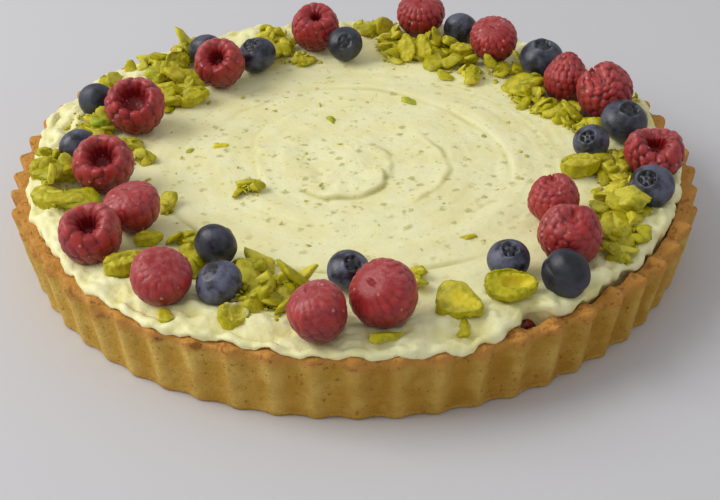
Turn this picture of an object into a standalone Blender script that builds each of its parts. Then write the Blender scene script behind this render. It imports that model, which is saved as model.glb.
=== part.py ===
"""Pistachio tart, 25 cm across: a fluted shortcrust shell, a thin layer of red berry filling,
pistachio cream spread in a spiral, and a wreath of raspberries, blueberries and pistachios.

Metres, +Z up. The origin is the middle of the flat underside. Angles are in degrees round +Z
from +X, and the front of the tart faces -Y.
"""

import math
import random

import bmesh
import bpy
from mathutils import Matrix, Vector
from mathutils.bvhtree import BVHTree

MM = 0.001
GAP = 0.3 * MM

# Shell
RIM_RADIUS = 126.3 * MM
BASE_RADIUS = 121.2 * MM
CRUST_HEIGHT = 26.2 * MM
FLUTES = 58
FLUTE_PHASE = 3.3
FLUTE_DEPTH_RIM = 2.5 * MM
FLUTE_DEPTH_BASE = 1.3 * MM
POINTS_PER_FLUTE = 4
RIDGE_SHARPNESS = 1.5
RIM_WAVE = 1.3 * MM
RIM_UNEVENNESS = 0.9 * MM
# Where the dough was pressed harder into the tin: its flutes are deeper and end in taller tips
PRESSED_CENTRE = 316.0
PRESSED_SPREAD = 22.0
PRESSED_DEEPER = 0.65
PRESSED_TALLER = 0.9
FOOT_INSET = 1.0 * MM
FOOT_RISE = 1.3 * MM
CREST_ROUNDING = 0.9 * MM
FLOOR_THICKNESS = 5.0 * MM
INNER_RADIUS_FLOOR = 115.0 * MM
INNER_RADIUS_RIM = 119.4 * MM

# Red berry filling, which shows in one notch between cream and crust
JAM_THICKNESS = 3.6 * MM
JAM_SEGMENTS = 40
NOTCH_ANGLE = 298.7
NOTCH_RADIUS = 112.5 * MM
NOTCH_HEIGHT = 15.5 * MM
NOTCH_HALF_SIZE = Vector((4.6, 6.2, 8.8)) * MM
NOTCH_CLEARANCE = 0.6 * MM
NOTCH_OPEN_HALF_HEIGHT = 17.0 * MM

# Cream
CREAM_TOP = 28.6 * MM
CREAM_SEGMENTS = 60
CREAM_RINGS = (6, 13, 20, 27, 34, 41, 49, 58, 68, 79, 90, 98, 105, 111, 117)
SWIRL_PITCH = 24.0 * MM
SWIRL_HEIGHT = 0.8 * MM
SWIRL_START = 0.6
SWIRL_FULL_BY = 14 * MM
SWIRL_GONE_BY = 100 * MM
CENTRE_CURL_HEIGHT = 1.0 * MM
CENTRE_CURL_RADIUS = 9 * MM
EDGE_START = 100 * MM
EDGE_DROP = 1.6 * MM
EDGE_LUMPS = 1.1 * MM
EDGE_SHOULDER = 2.4 * MM
# The line of the cream's edge: angle and distance from the middle in millimetres. The rim's
# inside is at 119.4, so that the cream covers the rim but for the right side and the left
EDGE_LINE = (
    (0, 119.8), (12, 120.4), (24, 123.0), (45, 124.0), (90, 124.2), (125, 124.0), (160, 123.4),
    (172, 121.8), (184, 121.2), (196, 122.8), (206, 124.6), (228, 125.0), (240, 124.8),
    (250, 123.2), (258, 124.8), (286, 125.2), (294, 123.0), (300, 119.8), (360, 119.8),
)
EDGE_RAGGED = 0.5 * MM

# Chopped pistachio: angle, distance from the middle and spread of each heap, and its pieces
CHOP_SIZE = (4.6 * MM, 8.2 * MM)
CHOP_CLEARANCE = 0.5 * MM
CHOP_TRIES = 12
CHOP_ROUGHNESS = (0.78, 1.12)
CHOP_STRETCH = (1.25, 0.85)
CHOP_THICKNESS = (0.65, 0.95)
CHOP_TIP = 0.5
CHOP_CENTRE_LIFT = 0.12
CHOP_HEAPS = (
    (104.0, 90, 7, 2), (75.0, 96, 11, 5), (60.0, 92, 9, 3), (34.0, 79, 5, 2),
    (23.0, 89, 6, 2), (43.0, 114, 5, 1), (357.0, 98, 8, 2), (346.0, 96, 8, 2),
    (331.0, 103, 7, 2), (321.0, 115, 4, 1), (287.5, 116, 4, 1), (254.0, 88, 5, 1),
    (246.0, 87, 4, 1), (257.0, 98, 6, 2), (240.0, 115, 4, 1), (227.0, 84, 4, 1),
    (193.0, 112, 9, 4), (176.0, 112, 6, 2), (164.0, 104, 5, 1), (142.0, 85, 8, 3),
    (137.0, 106, 8, 2), (209.0, 75, 4, 1), (282.0, 92, 4, 1), (276.0, 116, 4, 1),
    (53.0, 76, 4, 1), (213.0, 50, 5, 2),
)

# Raspberries: angle, distance from the middle, width, length, lean of the hollow end from
# upright, and the heading of that lean
RASPBERRIES = (
    (99.7, 95.5, 19.8, 17.5, 20, 270),
    (132.0, 80.0, 19.8, 17.0, 42, 255),
    (164.7, 86.5, 22.8, 16.5, 32, 270),
    (194.5, 92.5, 21.4, 18.0, 34, 275),
    (213.7, 91.5, 19.7, 16.0, 12, 190),
    (217.9, 111.5, 21.2, 17.5, 22, 265),
    (236.5, 112.5, 19.8, 16.0, 24, 300),
    (264.5, 116.5, 19.0, 19.0, 24, 185),
    (275.0, 107.5, 21.8, 19.5, 40, 225),
    (75.3, 113, 19.8, 17.5, 20, 270),
    (54.7, 100, 19.6, 17.0, 25, 255),
    (30.6, 97.5, 17.6, 16.5, 168, 250),
    (19.0, 103, 22.6, 17.5, 118, 215),
    (353.6, 109.5, 21.8, 15.0, 14, 270),
    (326.3, 82.5, 17.8, 15.5, 165, 300),
    (314.9, 101, 21.4, 19.0, 172, 90),
)
RASPBERRY_SEGMENTS = 14
RASPBERRY_BUMP = 0.045
# The berry's outline from the bottom of its hollow to its tip: shares of its width and length
RASPBERRY_PROFILE = (
    (0.00, 0.04), (0.14, 0.10), (0.20, 0.40), (0.33, 0.50), (0.455, 0.33), (0.50, 0.10),
    (0.475, -0.12), (0.395, -0.31), (0.26, -0.44), (0.10, -0.50), (0.00, -0.51),
)

# Blueberries: angle, distance from the middle, width, lean of the crown and its heading
BLUEBERRIES = (
    (127.8, 98.5, 14.8, 60, 90),
    (118.8, 82.5, 16.2, 25, 210),
    (92.6, 82.0, 14.4, 55, 270),
    (161.2, 105.5, 14.0, 90, 90),
    (182.6, 102, 14.0, 80, 130),
    (238.0, 86.5, 15.2, 75, 60),
    (245.2, 104, 15.6, 26, 210),
    (268.7, 88.5, 14.6, 32, 300),
    (65.8, 110, 14.6, 70, 80),
    (42.0, 102.5, 18.0, 10, 270),
    (7.4, 102.5, 18.0, 22, 300),
    (359.4, 87.5, 13.7, 42, 235),
    (342.2, 110, 16.4, 38, 225),
    (301.8, 95.5, 14.4, 22, 270),
    (306.9, 113.5, 16.4, 100, 60),
)
BLUEBERRY_SEGMENTS = 10
# From the bottom of the crown to the foot: shares of the berry's width
BLUEBERRY_PROFILE = (
    (0.00, 0.33), (0.21, 0.40), (0.40, 0.27), (0.515, 0.07), (0.48, -0.18), (0.28, -0.36),
    (0.00, -0.42),
)

# Whole, half and sliced pistachios: angle, distance from the middle, length, width and
# thickness, the heading of the long side, and the roll about it
PISTACHIOS = (
    (350.0, 83.5, 15.0, 9.0, 7.0, 8, 0),
    (288.0, 107.5, 16.5, 12.5, 5.5, 330, 14),
    (297.6, 108, 18.2, 12.0, 7.5, 5, 28),
    (226.4, 109.5, 15.0, 9.0, 7.5, 30, 0),
    (221.2, 93, 10.0, 5.0, 4.5, 12, 0),
    (134.5, 102.5, 12.0, 9.0, 4.0, 50, 55),
    (197.6, 112.5, 15.0, 9.0, 6.5, 330, 0),
    (187.0, 113.0, 13.0, 8.0, 7.0, 60, 20),
    (145.6, 77.0, 12.5, 8.5, 5.5, 20, 0),
    (83.5, 110.5, 11.5, 8.0, 4.0, 60, 60),
    (75.1, 84.0, 6.8, 11.0, 3.6, 352, 76),
    (70.3, 87.0, 7.2, 11.0, 3.6, 345, 78),
    (62.2, 96.5, 10.5, 7.0, 5.0, 350, 0),
    (250.4, 112.5, 12.0, 8.0, 6.0, 60, 15),
)
PISTACHIO_SEGMENTS = 8
PISTACHIO_BANDS = 6
PISTACHIO_FLAT_ABOVE = 0.28
PISTACHIO_NARROWING = 0.22
PISTACHIO_ROUGHNESS = 0.07

# Finishes: linear colour, roughness
FINISHES = {
    "baked_crust": ((0.50, 0.25, 0.075), 0.75),
    "berry_filling": ((0.11, 0.006, 0.008), 0.35),
    "pistachio_cream": ((0.80, 0.77, 0.42), 0.5),
    "raspberry_skin": ((0.32, 0.024, 0.036), 0.55),
    "blueberry_skin": ((0.022, 0.028, 0.060), 0.5),
    "pistachio_nut": ((0.36, 0.37, 0.020), 0.55),
}


def smooth_step(value, start, end):
    """0 before start and 1 after end, with a smooth rise between."""
    share = min(1.0, max(0.0, (value - start) / (end - start)))
    return share * share * (3 - 2 * share)


def polar(radius, degrees, height=0.0):
    """The point at this distance from the axis, in this direction."""
    angle = math.radians(degrees)
    return Vector((radius * math.cos(angle), radius * math.sin(angle), height))


def material(name):
    """A Principled material from the table of finishes."""
    colour, roughness = FINISHES[name]
    made = bpy.data.materials.new(name)
    made.use_nodes = True
    shader = made.node_tree.nodes["Principled BSDF"]
    shader.inputs["Base Color"].default_value = (*colour, 1)
    shader.inputs["Roughness"].default_value = roughness
    return made


def add_object(name, mesh, collection, finish):
    """An object of this mesh, smooth over its curves, in its collection."""
    mesh.materials.append(finish)
    mesh.shade_smooth()
    mesh.set_sharp_from_angle(angle=math.radians(50))
    made = bpy.data.objects.new(name, mesh)
    collection.objects.link(made)
    return made


def loft(name, rings, first_pole, last_pole):
    """A closed mesh over rings of equally many points, each end closed by a fan to its pole.

    The rings run so that, seen from outside, a ring's points go to the left as the next
    ring lies below.
    """
    count = len(rings[0])
    points = [first_pole] + [point for ring in rings for point in ring] + [last_pole]
    last = len(points) - 1
    faces = []
    for i in range(count):
        after = (i + 1) % count
        faces.append((0, 1 + i, 1 + after))
        for ring in range(len(rings) - 1):
            upper = 1 + ring * count
            lower = upper + count
            faces.append((upper + i, lower + i, lower + after, upper + after))
        lowest = 1 + (len(rings) - 1) * count
        faces.append((last, lowest + after, lowest + i))
    mesh = bpy.data.meshes.new(name)
    mesh.from_pydata(points, [], faces)
    return mesh


def bell(degrees, centre, spread):
    """A bell curve of the angle: 1 at the centre, 1/e a spread away from it."""
    away = ((degrees - centre + 180) % 360 - 180) / spread
    return math.exp(-away * away)


def ridge(degrees):
    """1 on the narrow ridge of a flute and 0 in the broad scoop beside it."""
    wave = 0.5 + 0.5 * math.cos(math.radians(FLUTES * (degrees - FLUTE_PHASE)))
    return wave ** RIDGE_SHARPNESS


def unevenness(degrees, seed):
    """A slow handmade waviness round the tart, between about -1 and 1."""
    angle = math.radians(degrees)
    return (
        0.45 * math.sin(3 * angle + seed)
        + 0.35 * math.sin(7 * angle + 2.3 * seed)
        + 0.30 * math.sin(17 * angle + 4.1 * seed)
    )


def outer_radius(degrees, share):
    """The wall's outer face at this share of its height, wider at the top."""
    pressed = 1 + PRESSED_DEEPER * bell(degrees, PRESSED_CENTRE, PRESSED_SPREAD)
    depth = (FLUTE_DEPTH_BASE + (FLUTE_DEPTH_RIM - FLUTE_DEPTH_BASE) * share) * pressed
    ridge_radius = BASE_RADIUS + (RIM_RADIUS - BASE_RADIUS) * share
    slump = 0.5 * MM * unevenness(degrees, 1.7)
    return ridge_radius - depth * (1 - ridge(degrees)) + slump


def inner_radius(height):
    """The wall's inner face, a plain cone."""
    share = (height - FLOOR_THICKNESS) / (CRUST_HEIGHT - FLOOR_THICKNESS)
    return INNER_RADIUS_FLOOR + (INNER_RADIUS_RIM - INNER_RADIUS_FLOOR) * share


def rim_height(degrees):
    """The wall's top edge, which rises on each ridge and wanders as baked pastry does."""
    pressed = 1 + PRESSED_TALLER * bell(degrees, PRESSED_CENTRE, PRESSED_SPREAD)
    return (
        CRUST_HEIGHT
        + RIM_WAVE * pressed * (ridge(degrees) - 0.5)
        + RIM_UNEVENNESS * unevenness(degrees, 0.4)
    )


def make_crust(collection, finish):
    """The shell: a flat foot, a fluted outer wall, a rounded rim and a plain inside."""
    points = FLUTES * POINTS_PER_FLUTE
    angles = [FLUTE_PHASE + 360 * i / points for i in range(points)]
    foot, edge, under_rim, outer_crest, inner_crest, floor = [], [], [], [], [], []
    for degrees in angles:
        top = rim_height(degrees)
        rim = outer_radius(degrees, 1)
        crest = max(rim - CREST_ROUNDING, INNER_RADIUS_RIM + 2 * CREST_ROUNDING)
        foot.append(polar(outer_radius(degrees, 0) - FOOT_INSET, degrees))
        edge.append(polar(outer_radius(degrees, 0), degrees, FOOT_RISE))
        under_rim.append(polar(rim, degrees, top - 1.4 * CREST_ROUNDING))
        outer_crest.append(polar(crest, degrees, top))
        inner_crest.append(polar(inner_radius(top), degrees, top - 0.6 * CREST_ROUNDING))
        floor.append(polar(INNER_RADIUS_FLOOR, degrees, FLOOR_THICKNESS))
    rings = [floor, inner_crest, outer_crest, under_rim, edge, foot]
    mesh = loft("crust", rings, Vector((0, 0, FLOOR_THICKNESS)), Vector((0, 0, 0)))
    return add_object("crust", mesh, collection, finish)


def jam_top():
    """The height of the red layer's flat top."""
    return FLOOR_THICKNESS + GAP + JAM_THICKNESS


def notch_shape(name, half_size, collection):
    """An ellipsoid that stands along the wall where the red filling shows."""
    mesh = bpy.data.meshes.new(name)
    shape = bmesh.new()
    bmesh.ops.create_uvsphere(shape, u_segments=12, v_segments=8, radius=1)
    lean = math.atan2(
        INNER_RADIUS_RIM - INNER_RADIUS_FLOOR, CRUST_HEIGHT - FLOOR_THICKNESS
    )
    turn = Matrix.Rotation(math.radians(NOTCH_ANGLE), 4, "Z")
    place = Matrix.Translation(polar(NOTCH_RADIUS, NOTCH_ANGLE, NOTCH_HEIGHT))
    shape.transform(
        place @ turn @ Matrix.Rotation(lean, 4, "Y") @ Matrix.Diagonal((*half_size, 1))
    )
    shape.to_mesh(mesh)
    shape.free()
    made = bpy.data.objects.new(name, mesh)
    collection.objects.link(made)
    return made


def apply_boolean(target, operation, other=None, collection=None):
    """Joins or cuts the target once, and writes the result into its mesh."""
    modifier = target.modifiers.new(operation.lower(), "BOOLEAN")
    modifier.operation = operation
    modifier.solver = "EXACT"
    if collection:
        modifier.solver = "MANIFOLD"
        modifier.operand_type = "COLLECTION"
        modifier.collection = collection
    else:
        modifier.object = other
    bpy.context.view_layer.update()
    graph = bpy.context.evaluated_depsgraph_get()
    mesh = bpy.data.meshes.new_from_object(target.evaluated_get(graph))
    target.modifiers.clear()
    old = target.data
    target.data = mesh
    bpy.data.meshes.remove(old)


def make_jam(collection, helpers, finish):
    """The red layer on the floor of the shell, with the one place where it climbs the wall."""
    bottom = FLOOR_THICKNESS + GAP
    mesh = bpy.data.meshes.new("berry_filling")
    disc = bmesh.new()
    bmesh.ops.create_cone(
        disc,
        cap_ends=True,
        segments=JAM_SEGMENTS,
        radius1=inner_radius(bottom) - GAP,
        radius2=inner_radius(jam_top()) - GAP,
        depth=JAM_THICKNESS,
        matrix=Matrix.Translation((0, 0, bottom + JAM_THICKNESS / 2)),
    )
    disc.to_mesh(mesh)
    disc.free()
    made = add_object("berry_filling", mesh, collection, finish)
    climb = notch_shape("filling_climb", NOTCH_HALF_SIZE, helpers)
    apply_boolean(made, "UNION", climb)
    bpy.data.objects.remove(climb)
    return made


def cream_height(radius, degrees):
    """The cream's top: spatula ridges in a spiral, a curl in the middle, lumps at the edge."""
    angle = math.radians(degrees)
    turns = radius / SWIRL_PITCH + angle / (2 * math.pi) - SWIRL_START
    wave = math.cos(2 * math.pi * turns) + 0.35 * math.cos(4 * math.pi * turns + 0.9)
    fade = smooth_step(radius, 0, SWIRL_FULL_BY)
    fade *= 1 - smooth_step(radius, 0.8 * SWIRL_GONE_BY, SWIRL_GONE_BY)
    curl = CENTRE_CURL_HEIGHT * math.exp(-((radius / CENTRE_CURL_RADIUS) ** 2))
    edge = smooth_step(radius, EDGE_START, INNER_RADIUS_RIM)
    lumps = EDGE_LUMPS * edge * math.sin(11 * angle + 1.3) * math.cos(19 * angle)
    return CREAM_TOP + SWIRL_HEIGHT * wave * fade + curl - EDGE_DROP * edge + lumps


def cream_reach(degrees):
    """How far out the cream's edge lies: its line between the two nearest points, ragged."""
    turned = degrees % 360
    for (start, near), (end, far) in zip(EDGE_LINE, EDGE_LINE[1:]):
        if start <= turned <= end:
            line = near + (far - near) * (turned - start) / (end - start)
            return line * MM + EDGE_RAGGED * math.sin(math.radians(23 * degrees))


def highest_rim_near(degrees):
    """The highest point of the rim within one segment of the cream on either side."""
    step = 360 / (FLUTES * POINTS_PER_FLUTE)
    reach = 360 / CREAM_SEGMENTS
    first = math.floor((degrees - FLUTE_PHASE - reach) / step)
    last = math.ceil((degrees - FLUTE_PHASE + reach) / step)
    return max(rim_height(FLUTE_PHASE + i * step) for i in range(first, last + 1))


def make_cream(collection, helpers, finish):
    """The cream from the red layer to its spread top, with the notch cut at its edge."""
    angles = [NOTCH_ANGLE + 360 * i / CREAM_SEGMENTS for i in range(CREAM_SEGMENTS)]
    rings = [
        [polar(r * MM, a, cream_height(r * MM, a)) for a in angles] for r in CREAM_RINGS
    ]
    shoulder, lip, crease, bottom = [], [], [], []
    low = jam_top() + GAP
    for degrees in angles:
        over_rim = highest_rim_near(degrees) + GAP
        reach = cream_reach(degrees)
        shoulder.append(polar(reach - 0.3 * MM, degrees, over_rim + EDGE_SHOULDER / 2))
        lip.append(polar(reach, degrees, over_rim + 0.2 * MM))
        crease.append(polar(INNER_RADIUS_RIM - GAP, degrees, over_rim))
        bottom.append(polar(inner_radius(low) - GAP, degrees, low))
    rings += [shoulder, lip, crease, bottom]
    top_pole = Vector((0, 0, cream_height(0, 0)))
    mesh = loft("cream", rings, top_pole, Vector((0, 0, low)))
    made = add_object("cream", mesh, collection, finish)
    opened = NOTCH_HALF_SIZE + Vector((NOTCH_CLEARANCE, NOTCH_CLEARANCE, 0))
    opened.z = NOTCH_OPEN_HALF_HEIGHT
    cutter = notch_shape("notch_cutter", opened, helpers)
    apply_boolean(made, "DIFFERENCE", cutter)
    bpy.data.objects.remove(cutter)
    return made


def turned_berry(name, profile, segments, width, length, bump):
    """A berry from a sphere whose bands follow a profile, with bumps in staggered rows."""
    mesh = bpy.data.meshes.new(name)
    shape = bmesh.new()
    bands = len(profile) - 1
    bmesh.ops.create_uvsphere(shape, u_segments=segments, v_segments=bands, radius=1)
    for vertex in shape.verts:
        band = round(math.acos(max(-1.0, min(1.0, vertex.co.z))) / math.pi * bands)
        around = math.atan2(vertex.co.y, vertex.co.x)
        column = round(around / (2 * math.pi) * segments)
        out, up = profile[band]
        swell = 1 + bump * (1 if (column + band) % 2 else -1) if 3 <= band < bands else 1
        radius = out * width * swell
        vertex.co = (radius * math.cos(around), radius * math.sin(around), up * length)
    shape.to_mesh(mesh)
    shape.free()
    return mesh


def kernel(name, length, width, thickness, seed):
    """A split pistachio: rounded below, its cut face flat, one end narrower."""
    draw = random.Random(seed)
    mesh = bpy.data.meshes.new(name)
    shape = bmesh.new()
    bmesh.ops.create_uvsphere(
        shape, u_segments=PISTACHIO_SEGMENTS, v_segments=PISTACHIO_BANDS, radius=1
    )
    shape.transform(Matrix.Rotation(math.pi / 2, 4, "Y"))
    for vertex in shape.verts:
        narrow = 1 - PISTACHIO_NARROWING * vertex.co.x
        rough = 1 + draw.uniform(-PISTACHIO_ROUGHNESS, PISTACHIO_ROUGHNESS)
        flat = min(vertex.co.z * narrow * rough, PISTACHIO_FLAT_ABOVE)
        vertex.co.x *= length / 2
        vertex.co.y *= width / 2 * narrow * rough
        vertex.co.z = flat * thickness / (1 + PISTACHIO_FLAT_ABOVE)
    shape.to_mesh(mesh)
    shape.free()
    return mesh


def lean_matrix(lean, heading):
    """Tips the upright axis by lean degrees towards the heading."""
    sideways = Vector((-math.sin(math.radians(heading)), math.cos(math.radians(heading)), 0))
    return Matrix.Rotation(math.radians(lean), 4, sideways)


def surface_of(made):
    """A search tree over the object's faces, in world space."""
    points = [made.matrix_world @ vertex.co for vertex in made.data.vertices]
    return BVHTree.FromPolygons(points, [face.vertices[:] for face in made.data.polygons])


def rest_on(made, ground):
    """Lowers or lifts the object until it clears the ground by the gap."""
    bpy.context.view_layer.update()
    down = Vector((0, 0, -1))
    clearances = []
    for vertex in made.data.vertices:
        point = made.matrix_world @ vertex.co
        hit = ground.ray_cast(point + Vector((0, 0, 1)), down)[0]
        if hit:
            clearances.append(point.z - hit.z)
    made.location.z -= min(clearances) - GAP
    bpy.context.view_layer.update()


def place(made, degrees, radius, turn, ground):
    """Turns the object, puts it at its place on the tart and rests it on the cream."""
    made.matrix_world = (
        Matrix.Translation(polar(radius * MM, degrees, 2 * CREAM_TOP)) @ turn
    )
    rest_on(made, ground)


def make_raspberries(collection, ground, finish):
    """Every raspberry of the wreath."""
    made = []
    for number, (degrees, radius, width, length, lean, heading) in enumerate(RASPBERRIES, 1):
        name = f"raspberry_{number:02d}"
        mesh = turned_berry(
            name, RASPBERRY_PROFILE, RASPBERRY_SEGMENTS, width * MM, length * MM,
            RASPBERRY_BUMP,
        )
        berry = add_object(name, mesh, collection, finish)
        place(berry, degrees, radius, lean_matrix(lean, heading), ground)
        made.append(berry)
    return made


def make_blueberries(collection, ground, finish):
    """Every blueberry of the wreath."""
    made = []
    for number, (degrees, radius, width, lean, heading) in enumerate(BLUEBERRIES, 1):
        name = f"blueberry_{number:02d}"
        mesh = turned_berry(
            name, BLUEBERRY_PROFILE, BLUEBERRY_SEGMENTS, width * MM, width * MM, 0
        )
        berry = add_object(name, mesh, collection, finish)
        place(berry, degrees, radius, lean_matrix(lean, heading), ground)
        made.append(berry)
    return made


def make_pistachios(collection, ground, finish):
    """Every large pistachio piece."""
    made = []
    for number, row in enumerate(PISTACHIOS, 1):
        degrees, radius, length, width, thickness, heading, roll = row
        name = f"pistachio_{number:02d}"
        mesh = kernel(name, length * MM, width * MM, thickness * MM, number)
        nut = add_object(name, mesh, collection, finish)
        turn = Matrix.Rotation(math.radians(heading), 4, "Z") @ Matrix.Rotation(
            math.radians(roll), 4, "X"
        )
        place(nut, degrees, radius, turn, ground)
        made.append(nut)
    return made


def chopped_piece(name, centre, size, draw, collection):
    """One irregular chip of pistachio."""
    mesh = bpy.data.meshes.new(name)
    shape = bmesh.new()
    bmesh.ops.create_icosphere(shape, subdivisions=1, radius=size / 2)
    for vertex in shape.verts:
        vertex.co *= draw.uniform(*CHOP_ROUGHNESS)
    spin = Matrix.Rotation(draw.uniform(0, 2 * math.pi), 4, "Z")
    stretch = Matrix.Diagonal((*CHOP_STRETCH, draw.uniform(*CHOP_THICKNESS), 1))
    tip = Matrix.Rotation(draw.uniform(-CHOP_TIP, CHOP_TIP), 4, "X")
    shape.transform(Matrix.Translation(centre) @ spin @ tip @ stretch)
    shape.to_mesh(mesh)
    shape.free()
    collection.objects.link(bpy.data.objects.new(name, mesh))


def scatter_chopped(cream, toppings, helpers, ground):
    """Fuses the chopped pistachio to the cream, clear of every other topping."""
    draw = random.Random(7)
    chopped = bpy.data.collections.new("chopped_pistachio")
    helpers.children.link(chopped)
    around = [surface_of(topping) for topping in toppings]
    down = Vector((0, 0, -1))
    for heap, (degrees, radius, spread, pieces) in enumerate(CHOP_HEAPS):
        for piece in range(pieces):
            for _ in range(CHOP_TRIES):
                size = draw.uniform(*CHOP_SIZE)
                off = Vector((draw.gauss(0, 0.5), draw.gauss(0, 0.5), 0)) * spread * MM
                spot = polar(radius * MM, degrees) + off
                hit = ground.ray_cast(Vector((spot.x, spot.y, 1)), down)[0]
                reach = 0.75 * size + CHOP_CLEARANCE
                if not hit or math.hypot(spot.x, spot.y) + reach > INNER_RADIUS_RIM:
                    continue
                centre = hit + Vector((0, 0, CHOP_CENTRE_LIFT * size))
                if all(tree.find_nearest(centre)[3] > reach for tree in around):
                    name = f"chip_{heap}_{piece}"
                    chopped_piece(name, centre, size, draw, chopped)
                    break
    apply_boolean(cream, "UNION", collection=chopped)
    for chip in list(chopped.objects):
        bpy.data.objects.remove(chip)
    bpy.data.collections.remove(chopped)


def main():
    for old in list(bpy.data.objects):
        bpy.data.objects.remove(old)
    scene = bpy.context.scene
    tart = bpy.data.collections.new("pistachio_tart")
    helpers = bpy.data.collections.new("helpers")
    helpers.hide_render = True
    scene.collection.children.link(tart)
    scene.collection.children.link(helpers)
    finish = {name: material(name) for name in FINISHES}

    make_crust(tart, finish["baked_crust"])
    make_jam(tart, helpers, finish["berry_filling"])
    cream = make_cream(tart, helpers, finish["pistachio_cream"])
    ground = surface_of(cream)
    toppings = make_raspberries(tart, ground, finish["raspberry_skin"])
    toppings += make_blueberries(tart, ground, finish["blueberry_skin"])
    toppings += make_pistachios(tart, ground, finish["pistachio_nut"])
    scatter_chopped(cream, toppings, helpers, ground)


main()
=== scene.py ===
"""The looks of a pistachio tart: a fluted shortcrust shell, pistachio cream spread in a spiral,
and a wreath of raspberries, blueberries and pistachios.

Each new piece is a surface worked out with numpy from named sizes. Lengths are in metres, +Z is
up, angles run round +Z from +X, and the front of the tart faces -Y.
"""

import logging
import math
from dataclasses import astuple, dataclass
from enum import Enum

import bpy
import numpy as np
from mathutils import Matrix, Vector


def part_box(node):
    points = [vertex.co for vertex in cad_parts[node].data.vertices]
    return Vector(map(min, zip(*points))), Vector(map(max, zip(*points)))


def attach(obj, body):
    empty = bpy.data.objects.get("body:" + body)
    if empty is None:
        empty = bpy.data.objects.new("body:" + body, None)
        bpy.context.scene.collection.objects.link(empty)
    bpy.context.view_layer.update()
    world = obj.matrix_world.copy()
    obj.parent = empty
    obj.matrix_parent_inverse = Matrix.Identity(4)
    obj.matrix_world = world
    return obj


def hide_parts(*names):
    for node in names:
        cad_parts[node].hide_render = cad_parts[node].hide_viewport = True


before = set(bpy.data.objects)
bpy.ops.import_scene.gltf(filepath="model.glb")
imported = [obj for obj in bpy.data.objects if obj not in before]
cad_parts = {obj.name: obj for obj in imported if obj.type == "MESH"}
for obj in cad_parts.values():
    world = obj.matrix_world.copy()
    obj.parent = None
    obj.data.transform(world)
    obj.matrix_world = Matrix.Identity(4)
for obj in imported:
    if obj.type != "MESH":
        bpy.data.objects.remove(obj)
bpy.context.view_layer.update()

log = logging.getLogger("pistachio_tart")

MM = 0.001
TURN = 2 * math.pi
# Large odd numbers that scatter the bits of a lattice cell
CELL_FACTORS = np.array([374761393, 668265263, 1442695041])
SEED_FACTOR = 974634777
FOLD_FACTOR = 1274126177
LOW_32_BITS = 0xFFFFFFFF
LOW_16_BITS = 0xFFFF
# Points that a smooth curve has between two corners
CURVE_STEPS = 24
Colour = tuple[float, float, float]


def seen(red: int, green: int, blue: int) -> Colour:
    """The linear colour of one given as it is seen on a screen, 0 to 255."""
    return tuple((channel / 255) ** 2.2 for channel in (red, green, blue))


def smooth_step(value: np.ndarray, start: float, end: float) -> np.ndarray:
    """0 before start and 1 after end, with the cubic 3x² - 2x³ between.

    Args:
        value: Any array.
        start: Where the rise begins.
        end: Where it is complete.

    Returns:
        An array of the same shape.
    """
    share = np.clip((value - start) / (end - start), 0.0, 1.0)
    return share * share * (3.0 - 2.0 * share)


def bell(value: np.ndarray, centre: float, width: float) -> np.ndarray:
    """A bell curve, exp(-((value - centre) / width)²)."""
    return np.exp(-(((value - centre) / width) ** 2))


def angle_between(angle: np.ndarray, centre: float) -> np.ndarray:
    """The signed turn from centre to each angle in degrees, between -180 and 180."""
    return (angle - centre + 180.0) % 360.0 - 180.0


def hashed(cell: np.ndarray, seed: int) -> np.ndarray:
    """A repeatable number from 0 to 1 for each cell of a lattice.

    Args:
        cell: Whole numbers, with the three coordinates on the last axis.
        seed: Picks one of many such lattices.

    Returns:
        One number for each cell, from multiplying and folding its coordinates' bits.
    """
    mixed = (cell @ CELL_FACTORS + seed * SEED_FACTOR) & LOW_32_BITS
    mixed = ((mixed ^ (mixed >> 13)) * FOLD_FACTOR) & LOW_32_BITS
    return ((mixed ^ (mixed >> 16)) & LOW_16_BITS) / LOW_16_BITS


def noise(points: np.ndarray, grain: float, seed: int = 0) -> np.ndarray:
    """A smooth random field: hashed values at a lattice's corners, blended by smooth steps.

    Args:
        points: Places in space, coordinates on the last axis.
        grain: The lattice's spacing.
        seed: Picks the lattice.

    Returns:
        One number between -1 and 1 for each point.
    """
    place = points / grain
    cell = np.floor(place).astype(np.int64)
    inside = place - cell
    inside = inside * inside * (3.0 - 2.0 * inside)
    total = np.zeros(points.shape[:-1])
    for corner in np.ndindex(2, 2, 2):
        weight = np.prod(np.where(np.array(corner) == 1, inside, 1.0 - inside), axis=-1)
        total += weight * hashed(cell + np.array(corner), seed)
    return 2.0 * total - 1.0


def fractal(points: np.ndarray, grain: float, octaves: int, seed: int = 0) -> np.ndarray:
    """Noise fields added up, each with half the grain and half the strength of the last.

    Args:
        points: Places in space.
        grain: The coarsest grain.
        octaves: How many fields are added.
        seed: Picks the fields.

    Returns:
        One number between -1 and 1 for each point.
    """
    total = np.zeros(points.shape[:-1])
    weight_sum = 0.0
    for octave in range(octaves):
        weight = 0.5**octave
        total += weight * noise(points, grain * weight, seed + octave)
        weight_sum += weight
    return total / weight_sum


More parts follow.
